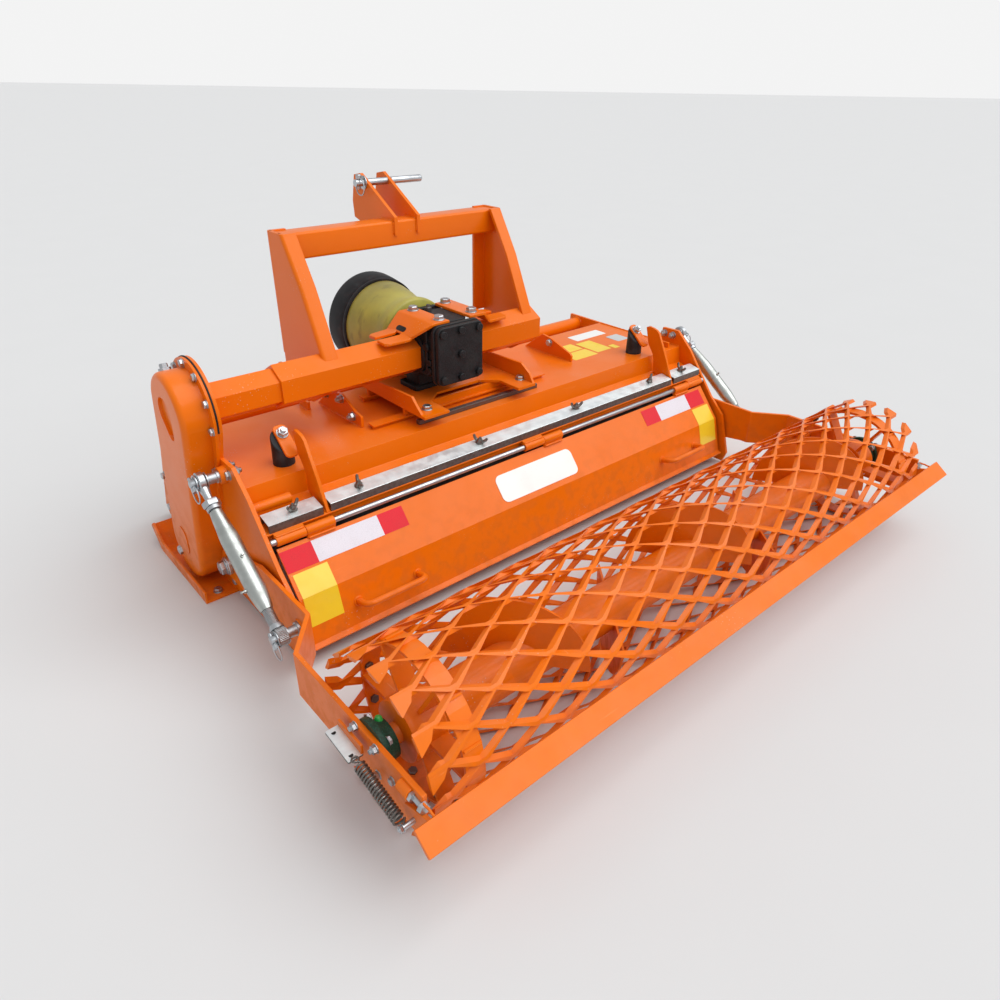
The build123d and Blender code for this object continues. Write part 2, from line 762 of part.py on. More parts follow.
# Comb of bars behind the rotor that holds the stones back
with BuildPart() as stone_grid:
    with BuildSketch(side_plane(-GRID_HALF)):
        with BuildLine():
            Polyline(
                (-312.0, 262.0),
                (-302.0, 262.0),
                (-302.0, 292.1),
                (-312.0, 290.0),
                close=True,
            )
        make_face()
    extrude(amount=2.0 * GRID_HALF)
    pitch = 2.0 * (GRID_HALF - GRID_BAR / 2.0) / (GRID_COUNT - 1)
    for i in range(GRID_COUNT):
        with BuildSketch(side_plane(-GRID_HALF + i * pitch)):
            with BuildLine():
                Polyline(
                    (-302.0, 270.0),
                    (-312.0, 270.0),
                    (-322.0, 190.0),
                    (-356.0, 110.0),
                    (-418.0, 34.0),
                    (-408.0, 27.0),
                    (-345.0, 105.0),
                    (-311.0, 188.0),
                    close=True,
                )
            make_face()
        extrude(amount=GRID_BAR)
stone_grid.part.label = "stone_grid"
export_step(stone_grid.part, "parts/stone_grid.step")

# Stop arms above the stone grid, each with a head strip over its rubber buffer
with BuildPart() as stop_arms:
    for side, sign in SIDES:
        inner = STOP_X - STOP_T if sign > 0 else -STOP_X
        with BuildSketch(side_plane(inner)):
            with BuildLine():
                Polyline(
                    (-350.0, 287.8),
                    (-317.0, 362.0),
                    (-275.0, 443.0),
                    (-257.0, 452.0),
                    (-231.0, 458.0),
                    (-219.0, 453.0),
                    (-236.0, 399.0),
                    (-262.0, 366.0),
                    (-266.0, 330.0),
                    (-268.0, 308.0),
                    (-300.0, 298.4),
                    close=True,
                )
            make_face()
        extrude(amount=STOP_T)
        with BuildSketch(flat_plane(HEAD_LOW)):
            with Locations((inner - HEAD_WIDE / 2.0, BUFFER_Y - 38.0)):
                RectangleRounded(HEAD_WIDE, 116.0, 18.0)
            with Locations((inner - 6.0, BUFFER_Y - 58.0)):
                Rectangle(12.0, 60.0)
        extrude(amount=HEAD_T)
stop_arms.part.label = "stop_arms"
export_step(stop_arms.part, "parts/stop_arms.step")

with BuildPart() as rubber_buffers:
    for side, sign in SIDES:
        inner = STOP_X - STOP_T if sign > 0 else -STOP_X
        with BuildSketch(flat_plane(deck_z(BUFFER_Y))):
            with Locations((inner - BUFFER_OFF, BUFFER_Y)):
                Circle(BUFFER_R)
        extrude(amount=HEAD_LOW - deck_z(BUFFER_Y))
rubber_buffers.part.label = "rubber_buffers"
export_step(rubber_buffers.part, "parts/rubber_buffers.step")

# Short hinge tube of the stone grid at the left end of the hood's shelf
with BuildPart() as grid_pivot:
    with BuildSketch(side_plane(-792.0)):
        with Locations((-279.0, 319.0)):
            Circle(12.0)
        with BuildLine():
            Polyline((-288.0, 301.8), (-270.0, 307.0), (-270.0, 315.0), (-288.0, 315.0), close=True)
        make_face()
        with Locations((-279.0, 319.0)):
            Circle(6.0, mode=Mode.SUBTRACT)
    extrude(amount=92.0)
grid_pivot.part.label = "grid_pivot"
export_step(grid_pivot.part, "parts/grid_pivot.step")

# Zinc-plated channels that clamp the rear edge of the hood
STRIPS = [
    (-790.0, -STOP_X - 8.0),
    (-STOP_X + STOP_T + 3.0, STOP_X - STOP_T - 3.0),
    (STOP_X + 3.0, 790.0),
]
with BuildPart() as clamp_strips:
    for start, end in STRIPS:
        with BuildSketch(side_plane(start)):
            with BuildLine():
                Polyline(
                    (-351.0, 287.5),
                    (-351.0, 308.0),
                    (-309.0, 317.0),
                    (-309.0, 296.4),
                    (-313.0, 295.6),
                    (-313.0, 312.0),
                    (-347.0, 304.8),
                    (-347.0, 288.4),
                    close=True,
                )
            make_face()
        extrude(amount=end - start)
clamp_strips.part.label = "clamp_strips"
export_step(clamp_strips.part, "parts/clamp_strips.step")

# Hinge of the rear door: a rod through barrels on the hood and on the door
with BuildPart() as hinge_rod:
    with BuildSketch(side_plane(-SIDE_IN + 2.0)):
        with Locations(HINGE):
            Circle(HINGE_ROD_R)
    extrude(amount=2.0 * SIDE_IN - 4.0)
hinge_rod.part.label = "hinge_rod"
export_step(hinge_rod.part, "parts/hinge_rod.step")

with BuildPart() as hood_barrels:
    for x in FIXED_BARRELS:
        with BuildSketch(side_plane(x)):
            with Locations(HINGE):
                Circle(BARREL_R)
            with BuildLine():
                Polyline(
                    (HINGE[0], HINGE[1] + 6.0),
                    (HINGE[0], 285.2),
                    HOOD_EDGE,
                    (-352.0, 281.9),
                    (-344.0, 276.0),
                    close=True,
                )
            make_face()
            with Locations(HINGE):
                Circle(HINGE_ROD_R, mode=Mode.SUBTRACT)
        extrude(amount=BARREL_LONG)
hood_barrels.part.label = "hood_barrels"
export_step(hood_barrels.part, "parts/hood_barrels.step")

# Rear door: folded sheet with its own barrels
with BuildPart() as door_panel:
    with BuildSketch(side_plane(-DOOR_HALF)):
        with BuildLine():
            Polyline(*DOOR_LINE)
            offset(amount=DOOR_T, side=Side.LEFT)
        make_face()
    extrude(amount=2.0 * DOOR_HALF)
    for x in DOOR_BARRELS:
        with BuildSketch(side_plane(x)):
            with Locations(HINGE):
                Circle(BARREL_R)
            with BuildLine():
                Polyline(
                    (HINGE[0] - 10.0, HINGE[1] - 3.0),
                    (HINGE[0] + 2.0, HINGE[1] - 10.0),
                    (-363.0, 251.0),
                    (-369.0, 252.0),
                    close=True,
                )
            make_face()
            with Locations(HINGE):
                Circle(HINGE_ROD_R + RUN_GAP, mode=Mode.SUBTRACT)
        extrude(amount=BARREL_LONG)
door_panel.part.label = "door_panel"
export_step(door_panel.part, "parts/door_panel.step")

# Tubular handles on the lower panel of the door
with BuildPart() as door_handles:
    for side, sign in SIDES:
        with BuildLine() as handle_line:
            FilletPolyline(
                (sign * HANDLE_IN, ROTOR_Y + HANDLE_FOOT[0], HANDLE_FOOT[1]),
                (sign * HANDLE_IN, ROTOR_Y + HANDLE_TIP[0], HANDLE_TIP[1]),
                (sign * HANDLE_OUT, ROTOR_Y + HANDLE_TIP[0], HANDLE_TIP[1]),
                (sign * HANDLE_OUT, ROTOR_Y + HANDLE_FOOT[0], HANDLE_FOOT[1]),
                radius=20.0,
            )
        with BuildSketch(Plane(origin=handle_line.line @ 0, z_dir=handle_line.line % 0)):
            RegularPolygon(HANDLE_R, 8)
        sweep(path=handle_line.line)
door_handles.part.label = "door_handles"
export_step(door_handles.part, "parts/door_handles.step")

# Rotor: tube with stub shafts, and discs that carry angled blades
with BuildPart() as rotor_shaft:
    with BuildSketch(side_plane(-ROTOR_HALF)):
        with Locations((0.0, ROTOR_Z)):
            Circle(ROTOR_TUBE_R)
    extrude(amount=2.0 * ROTOR_HALF)
    with BuildSketch(side_plane(-SIDE_OUT - 30.0)):
        with Locations((0.0, ROTOR_Z)):
            Circle(SHAFT_STUB_R)
    extrude(amount=2.0 * SIDE_OUT + 45.0)
rotor_shaft.part.label = "rotor_shaft"
export_step(rotor_shaft.part, "parts/rotor_shaft.step")

DISC_T = 10.0
DISC_PITCH = (2.0 * ROTOR_HALF - 66.0) / (DISC_COUNT - 1)
BLADE_ROOT = 78.0
BLADE_MID = (TIP_R - 2.0 + BLADE_ROOT) / 2.0
with BuildPart() as rotor_blades:
    for i in range(DISC_COUNT):
        x = -ROTOR_HALF + 28.0 + i * DISC_PITCH
        lean = 1.0 if i < DISC_COUNT / 2 else -1.0
        with BuildSketch(side_plane(x)):
            with Locations((0.0, ROTOR_Z)):
                Circle(DISC_R)
                with PolarLocations(BLADE_MID, BLADES_EACH, start_angle=i * 27.0):
                    Rectangle(TIP_R - 2.0 - BLADE_ROOT, BLADE_WIDE)
                Circle(ROTOR_TUBE_R, mode=Mode.SUBTRACT)
        extrude(amount=DISC_T)
        with BuildSketch(side_plane(x + (DISC_T if lean > 0 else 0.0))):
            with Locations((0.0, ROTOR_Z)):
                with PolarLocations(TIP_R - 2.0 - BLADE_T / 2.0, BLADES_EACH, start_angle=i * 27.0):
                    Rectangle(BLADE_T, BLADE_WIDE)
        extrude(amount=lean * 62.0)
rotor_blades.part.label = "rotor_blades"
export_step(rotor_blades.part, "parts/rotor_blades.step")

# Arms of the roller frame, each with its outward joggle
with BuildPart() as arm_left:
    with BuildSketch(flat_plane(0.0)):
        with BuildLine():
            Polyline(
                (-ARM_FRONT_OUT, ARM_PIVOT[0] + 60.0),
                (-ARM_FRONT_OUT, JOG_FRONT_Y),
                (-ARM_REAR_OUT, JOG_REAR_Y),
                (-ARM_REAR_OUT, ARM_REAR_Y),
            )
            offset(amount=ARM_T, side=Side.LEFT)
        make_face()
    extrude(amount=ARM_TOP)
    with BuildSketch(side_plane(-ARM_REAR_OUT - 5.0)):
        with BuildLine():
            Polyline(
                (ARM_PIVOT[0], ARM_PIVOT[1] + ARM_END_R),
                (-340.0, ARM_TOP),
                (ARM_REAR_Y, ARM_TOP),
                (ARM_REAR_Y, ARM_LOW),
                (-540.0, ARM_LOW),
                (-300.0, ARM_PIVOT[1] - ARM_END_R),
                (ARM_PIVOT[0], ARM_PIVOT[1] - ARM_END_R),
                close=True,
            )
        make_face()
        with Locations(ARM_PIVOT):
            Circle(ARM_END_R)
            Circle(PIVOT_PIN_R + RUN_GAP, mode=Mode.SUBTRACT)
    extrude(amount=100.0, mode=Mode.INTERSECT)
arm_left.part.label = "arm_left"
export_step(arm_left.part, "parts/arm_left.step")

with BuildPart() as arm_right:
    add(mirror(arm_left.part, about=Plane.YZ))
arm_right.part.label = "arm_right"
export_step(arm_right.part, "parts/arm_right.step")

# Pivot pins of the arms and of the upper link eyes, fixed to the side plates
with BuildPart() as frame_pins:
    for side, sign in SIDES:
        with BuildSketch(side_plane(sign * SIDE_OUT)):
            with Locations(ARM_PIVOT):
                Circle(PIVOT_PIN_R)
        extrude(amount=sign * 22.0)
        with BuildSketch(side_plane(sign * (ARM_FRONT_OUT + 0.5))):
            with Locations(ARM_PIVOT):
                Circle(PIVOT_PIN_R + 9.0)
        extrude(amount=sign * 9.0)
        with BuildSketch(side_plane(sign * SIDE_OUT)):
            with Locations(LINK_TOP):
                Circle(LINK_PIN_R)
        extrude(amount=sign * (LINK_X + EYE_T / 2.0 + LINK_PIN_PAST - SIDE_OUT))
        with BuildSketch(side_plane(sign * SIDE_OUT)):
            with Locations(LINK_TOP):
                Circle(LINK_PIN_R + 9.0)
        extrude(amount=sign * (LINK_X - EYE_T / 2.0 - 3.0 - SIDE_OUT))
frame_pins.part.label = "frame_pins"
export_step(frame_pins.part, "parts/frame_pins.step")

with BuildPart() as arm_pins:
    for side, sign in SIDES:
        with BuildSketch(side_plane(sign * ARM_FRONT_OUT)):
            with Locations(LINK_LOW):
                Circle(LINK_PIN_R)
        extrude(amount=sign * (LINK_X + EYE_T / 2.0 + LINK_PIN_PAST - ARM_FRONT_OUT))
        with BuildSketch(side_plane(sign * ARM_FRONT_OUT)):
            with Locations(LINK_LOW):
                Circle(LINK_PIN_R + 9.0)
        extrude(amount=sign * (LINK_X - EYE_T / 2.0 - 3.0 - ARM_FRONT_OUT))
arm_pins.part.label = "arm_pins"
export_step(arm_pins.part, "parts/arm_pins.step")

# Turnbuckles: a barrel with the upper eye, and a screw with the lower eye
LINK_LONG = math.hypot(LINK_LOW[0] - LINK_TOP[0], LINK_LOW[1] - LINK_TOP[1])
LINK_DIR = Vector(0.0, (LINK_LOW[0] - LINK_TOP[0]) / LINK_LONG, (LINK_LOW[1] - LINK_TOP[1]) / LINK_LONG)
for side, sign in SIDES:
    top_eye = Vector(sign * LINK_X, ROTOR_Y + LINK_TOP[0], LINK_TOP[1])
    with BuildPart() as link_barrel:
        with BuildSketch(Plane(origin=top_eye + LINK_DIR * EYE_NECK, z_dir=LINK_DIR)):
            Circle(SCREW_R)
        extrude(amount=BARREL_FROM)
        with BuildSketch(Plane(origin=top_eye + LINK_DIR * BARREL_FROM, z_dir=LINK_DIR)):
            Circle(LINK_BARREL_R)
        extrude(amount=BARREL_TO - BARREL_FROM)
        with BuildSketch(Plane(origin=top_eye + LINK_DIR * (BARREL_TO - BARREL_BORE), z_dir=LINK_DIR)):
            Circle(SCREW_R + RUN_GAP)
        extrude(amount=BARREL_BORE, mode=Mode.SUBTRACT)
        with BuildSketch(side_plane(sign * LINK_X)):
            with Locations(LINK_TOP):
                Circle(EYE_R)
        extrude(amount=EYE_T / 2.0, both=True)
        with BuildSketch(side_plane(sign * LINK_X)):
            with Locations(LINK_TOP):
                Circle(LINK_PIN_R + RUN_GAP)
        extrude(amount=EYE_T, both=True, mode=Mode.SUBTRACT)
    link_barrel.part.label = "link_barrel_" + side
    export_step(link_barrel.part, "parts/link_barrel_" + side + ".step")

    with BuildPart() as link_screw:
        with BuildSketch(Plane(origin=top_eye + LINK_DIR * (BARREL_TO - SCREW_INSIDE), z_dir=LINK_DIR)):
            Circle(SCREW_R)
        extrude(amount=LINK_LONG - BARREL_TO + SCREW_INSIDE - EYE_NECK)
        with BuildSketch(side_plane(sign * LINK_X)):
            with Locations(LINK_LOW):
                Circle(EYE_R)
        extrude(amount=EYE_T / 2.0, both=True)
        with BuildSketch(side_plane(sign * LINK_X)):
            with Locations(LINK_LOW):
                Circle(LINK_PIN_R + EYE_PLAY)
        extrude(amount=EYE_T, both=True, mode=Mode.SUBTRACT)
    link_screw.part.label = "link_screw_" + side
    export_step(link_screw.part, "parts/link_screw_" + side + ".step")

# Roller bearings on the arms
with BuildPart() as roller_bearings:
    for side, sign in SIDES:
        with BuildSketch(side_plane(sign * (ARM_REAR_OUT - ARM_T))):
            with Locations(ROLLER):
                Circle(BEARING_R)
                Circle(STUB_R + RUN_GAP, mode=Mode.SUBTRACT)
        extrude(amount=-sign * 12.0)
        with BuildSketch(side_plane(sign * (ARM_REAR_OUT - ARM_T - 12.0))):
            with Locations(ROLLER):
                Circle(BEARING_R - 14.0)
                Circle(STUB_R + RUN_GAP, mode=Mode.SUBTRACT)
        extrude(amount=-sign * 22.0)
roller_bearings.part.label = "roller_bearings"
export_step(roller_bearings.part, "parts/roller_bearings.step")

# Scraper bar behind the roller, on brackets at the arms' ends
with BuildPart() as scraper:
    with BuildSketch(side_plane(-SCRAPER_HALF)):
        with BuildLine():
            Polyline(
                (-1105.0, 204.0),
                (-1143.0, 176.0),
                (-1138.0, 169.5),
                (-1100.0, 197.5),
                close=True,
            )
        make_face()
    extrude(amount=2.0 * SCRAPER_HALF)
    for side, sign in SIDES:
        with BuildSketch(side_plane(sign * (ARM_REAR_OUT + SEAT))):
            with BuildLine():
                Polyline(
                    (-1112.0, 192.0),
                    (-1134.0, 175.0),
                    (-1060.0, 130.0),
                    (-1030.0, 140.0),
                    (-1030.0, 165.0),
                    (-1060.0, 176.0),
                    close=True,
                )
            make_face()
        extrude(amount=sign * SCRAPER_BRACKET_T)
scraper.part.label = "scraper"
export_step(scraper.part, "parts/scraper.step")

with BuildPart() as scraper_springs:
    for side, sign in SIDES:
        start = Vector(sign * SPRING_X, ROTOR_Y - 921.0, 176.0)
        with BuildSketch(Plane(origin=start, z_dir=(0.0, -145.0, -28.0))):
            Circle(SPRING_R)
        extrude(amount=SPRING_LONG)
scraper_springs.part.label = "scraper_springs"
export_step(scraper_springs.part, "parts/scraper_springs.step")

with BuildPart() as spring_plates:
    for side, sign in SIDES:
        with BuildSketch(side_plane(sign * 917.0)):
            with BuildLine():
                Polyline(
                    (-831.0, 163.0),
                    (-847.0, 191.0),
                    (-922.0, 192.0),
                    (-918.0, 160.0),
                    close=True,
                )
            make_face()
        extrude(amount=sign * 5.0)
        with BuildSketch(side_plane(sign * ARM_REAR_OUT)):
            with Locations((-880.0, 178.0)):
                Circle(8.0)
        extrude(amount=sign * 19.0)
spring_plates.part.label = "spring_plates"
export_step(spring_plates.part, "parts/spring_plates.step")

# Roller core: tube, stub shafts, end rims with spokes, and tilted half discs as flights
RIM_OUT = ROLLER_R - MESH_T
SPOKE_TO = RIM_OUT - RIM_T + 2.0
SPOKE_FROM = CORE_R - 5.0
STUB_HALF = ARM_REAR_OUT - ARM_T - 4.0
with BuildPart() as roller_core:
    with BuildSketch(side_plane(-RIM_X - 45.0)):
        with Locations(ROLLER):
            Circle(CORE_R)
    extrude(amount=2.0 * RIM_X + 90.0)
    with BuildSketch(side_plane(-STUB_HALF)):
        with Locations(ROLLER):
            Circle(STUB_R)
    extrude(amount=2.0 * STUB_HALF)
    for side, sign in SIDES:
        with BuildSketch(side_plane(sign * RIM_X - RIM_WIDE / 2.0)):
            with Locations(ROLLER):
                RegularPolygon(RIM_OUT, MESH_SIDES)
                RegularPolygon(RIM_OUT - RIM_T, MESH_SIDES, mode=Mode.SUBTRACT)
        extrude(amount=RIM_WIDE)
        with BuildSketch(side_plane(sign * RIM_X - RIM_WIDE / 2.0)):
            with Locations(ROLLER):
                with PolarLocations((SPOKE_TO + SPOKE_FROM) / 2.0, SPOKE_COUNT):
                    Rectangle(SPOKE_TO - SPOKE_FROM, SPOKE_T)
        extrude(amount=RIM_WIDE)
    for i, x in enumerate(FLIGHTS):
        turn = math.radians(FLIGHT_TILT)
        way = 1.0 if i % 2 == 0 else -1.0
        tilted = Plane(
            origin=(x, ROTOR_Y + ROLLER[0], ROLLER[1]),
            x_dir=(0.0, 0.0, way),
            z_dir=(math.cos(turn), way * math.sin(turn), 0.0),
        )
        with BuildSketch(tilted):
            Circle(FLIGHT_R)
            with Locations((-FLIGHT_R / 2.0, 0.0)):
                Rectangle(FLIGHT_R, 2.0 * FLIGHT_R, mode=Mode.SUBTRACT)
        extrude(amount=FLIGHT_T)
roller_core.part.label = "roller_core"
export_step(roller_core.part, "parts/roller_core.step")

# Mesh of the roller: a many-sided shell with a slanted diamond cut at every opening, as in expanded metal
MESH_STEP = ROLLER_R * 2.0 * math.pi / MESH_SIDES
MESH_SLANT = math.cos(math.radians(MESH_TILT))
MESH_MID_R = ROLLER_R - MESH_T / 2.0
with BuildPart() as roller_mesh:
    with BuildSketch(side_plane(-ROLLER_HALF)):
        with Locations(ROLLER):
            RegularPolygon(ROLLER_R, MESH_SIDES)
            RegularPolygon(ROLLER_R - MESH_T, MESH_SIDES, mode=Mode.SUBTRACT)
    extrude(amount=2.0 * ROLLER_HALF)
    half_wide = (MESH_STEP - STRAND * 0.56) * MESH_SLANT
    half_long = MESH_PITCH / 2.0 - STRAND * 1.1
    for start, count in ((0, MESH_COUNT), (1, MESH_COUNT - 1)):
        planes = []
        for i in range(start, MESH_SIDES, 2):
            angle = math.radians(360.0 * i / MESH_SIDES)
            slanted = angle + math.radians(MESH_TILT)
            across = ROTOR_Y + ROLLER[0] + MESH_MID_R * math.cos(angle)
            planes.append(
                Plane(
                    origin=(0.0, across, ROLLER[1] + MESH_MID_R * math.sin(angle)),
                    x_dir=(1.0, 0.0, 0.0),
                    z_dir=(0.0, math.cos(slanted), math.sin(slanted)),
                )
            )
        with BuildSketch(*planes):
            with GridLocations(MESH_PITCH, 0.0, count, 1):
                Polygon((half_long, 0.0), (0.0, half_wide), (-half_long, 0.0), (0.0, -half_wide), align=None)
        extrude(amount=MESH_CUT, both=True, mode=Mode.SUBTRACT)
        if start == 1:
            # Slots that leave the slanted tabs of the two cut ends
            tab_side = (MESH_STEP - TAB_WIDE / 2.0) * MESH_SLANT
            slope = MESH_STEP * MESH_SLANT / (MESH_PITCH / 2.0)
            with BuildSketch(*planes):
                for way in (-1.0, 1.0):
                    Polygon(
                        (way * (TAB_X - half_long), 0.0),
                        (way * TAB_X, way * half_wide),
                        (way * (TAB_X + TAB_NECK), way * (tab_side + slope * TAB_NECK)),
                        (way * (TAB_X + TAB_LONG), way * (tab_side + slope * TAB_LONG)),
                        (way * (TAB_X + TAB_LONG), way * (slope * TAB_LONG - tab_side)),
                        (way * (TAB_X + TAB_NECK), way * (slope * TAB_NECK - tab_side)),
                        (way * TAB_X, -way * half_wide),
                        align=None,
                    )
            extrude(amount=MESH_CUT, both=True, mode=Mode.SUBTRACT)
roller_mesh.part.label = "roller_mesh"
export_step(roller_mesh.part, "parts/roller_mesh.step")
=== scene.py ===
"""Looks of the stone burier: finishes of its CAD nodes, fasteners, films, springs, welds, studio.

Places are given as in the part's source: millimetres, x across the machine, y forward from the
rotor's axis, z above the ground. `spot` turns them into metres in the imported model's frame.
Radii, thicknesses and outlines are in metres.
"""

import json
import logging
import math
from dataclasses import dataclass, field
from enum import Enum
from typing import Mapping, Optional, Protocol, Sequence, Union

import bmesh
import bpy
from mathutils import Matrix, Vector


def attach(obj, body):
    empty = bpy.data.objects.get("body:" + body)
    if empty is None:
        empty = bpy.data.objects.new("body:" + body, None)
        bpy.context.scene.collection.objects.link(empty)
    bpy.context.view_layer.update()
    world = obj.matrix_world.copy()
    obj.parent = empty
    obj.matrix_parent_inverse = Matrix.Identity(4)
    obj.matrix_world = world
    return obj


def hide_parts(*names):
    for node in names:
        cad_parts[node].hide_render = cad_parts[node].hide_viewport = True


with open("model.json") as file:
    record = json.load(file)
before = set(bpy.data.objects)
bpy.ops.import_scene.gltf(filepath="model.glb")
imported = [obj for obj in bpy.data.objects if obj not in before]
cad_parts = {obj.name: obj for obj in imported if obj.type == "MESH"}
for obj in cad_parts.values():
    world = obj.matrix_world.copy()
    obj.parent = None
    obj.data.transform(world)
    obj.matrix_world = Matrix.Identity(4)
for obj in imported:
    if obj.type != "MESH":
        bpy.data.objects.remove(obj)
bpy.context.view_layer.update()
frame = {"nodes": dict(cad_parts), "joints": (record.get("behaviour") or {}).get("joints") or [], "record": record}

MM = 0.001
FULL_TURN = 2.0 * math.pi
UP = Vector((0.0, 0.0, 1.0))
DOWN = Vector((0.0, 0.0, -1.0))
RIGHT = Vector((1.0, 0.0, 0.0))
LEFT = Vector((-1.0, 0.0, 0.0))
AHEAD = Vector((0.0, 1.0, 0.0))
BACK = Vector((0.0, -1.0, 0.0))

Rgb = tuple[float, float, float]
Place = tuple[float, float, float]
Pair = tuple[float, float]
Outline = Sequence[Pair]
Socket = bpy.types.NodeSocket
Feed = Union["Signal", float]

log = logging.getLogger("stone_burier")


def joint_place(name: str) -> Vector:
    """Where a joint of the record sits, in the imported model's frame."""
    return Vector(next(j["pos_m"] for j in frame["joints"] if j["name"] == name))


ROTOR_Y = joint_place("rotor_spin").y


def spot(x: float, y: float, z: float) -> Vector:
    """Turns a place in the source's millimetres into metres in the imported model's frame."""
    return Vector((x * MM, ROTOR_Y + y * MM, z * MM))


@dataclass(frozen=True)
class Side:
    """The left or the right side of the machine, seen from behind."""

    name: str
    sign: float

    @property
    def out(self) -> Vector:
        """Direction straight out of this side."""
        return RIGHT * self.sign

    def spot(self, x: float, y: float, z: float) -> Vector:
        """A place at x millimetres towards this side."""
        return spot(self.sign * x, y, z)


SIDES = (Side("left", -1.0), Side("right", 1.0))


def linear(red: int, green: int, blue: int) -> Rgb:
    """Turns a screen colour, 0 to 255, into the linear one that a shader takes."""
    parts = [c / 255.0 for c in (red, green, blue)]
    shares = [c / 12.92 if c <= 0.04045 else ((c + 0.055) / 1.055) ** 2.4 for c in parts]
    return shares[0], shares[1], shares[2]


def shade(colour: Rgb, by: float) -> Rgb:
    """A linear colour times a factor, kept at or below 1."""
    return min(colour[0] * by, 1.0), min(colour[1] * by, 1.0), min(colour[2] * by, 1.0)


@dataclass(frozen=True)
class Signal:
    """A value socket of a material, with plain arithmetic on it."""

    board: "Board"
    socket: Socket

    def __add__(self, other: Feed) -> "Signal":
        """This plus other."""
        return self.board.math("ADD", self, other)

    def __radd__(self, other: Feed) -> "Signal":
        """Other plus this."""
        return self.board.math("ADD", other, self)

    def __rsub__(self, other: Feed) -> "Signal":
        """Other less this."""
        return self.board.math("SUBTRACT", other, self)

    def __mul__(self, other: Feed) -> "Signal":
        """This times other."""
        return self.board.math("MULTIPLY", self, other)

    def __rmul__(self, other: Feed) -> "Signal":
        """Other times this."""
        return self.board.math("MULTIPLY", other, self)

    def sine(self) -> "Signal":
        """Sine of this value in radians."""
        return self.board.math("SINE", self)

    def larger(self, other: Feed) -> "Signal":
        """The larger of the two values."""
        return self.board.math("MAXIMUM", self, other)

    def between(self, low: float, high: float) -> "Signal":
        """A smooth step of this value.

        Args:
            low: value at which the step gives 0.
            high: value at which the step gives 1; below low, the step falls.

        Returns:
            The step, from 0 to 1.
        """
        ends = (low, high, 0.0, 1.0) if low < high else (high, low, 1.0, 0.0)
        settings = {"interpolation_type": "SMOOTHSTEP", "clamp": True}
        sockets = {0: self, **dict(enumerate(ends, 1))}
        node = self.board.node("ShaderNodeMapRange", settings, sockets)
        return Signal(self.board, node.outputs[0])


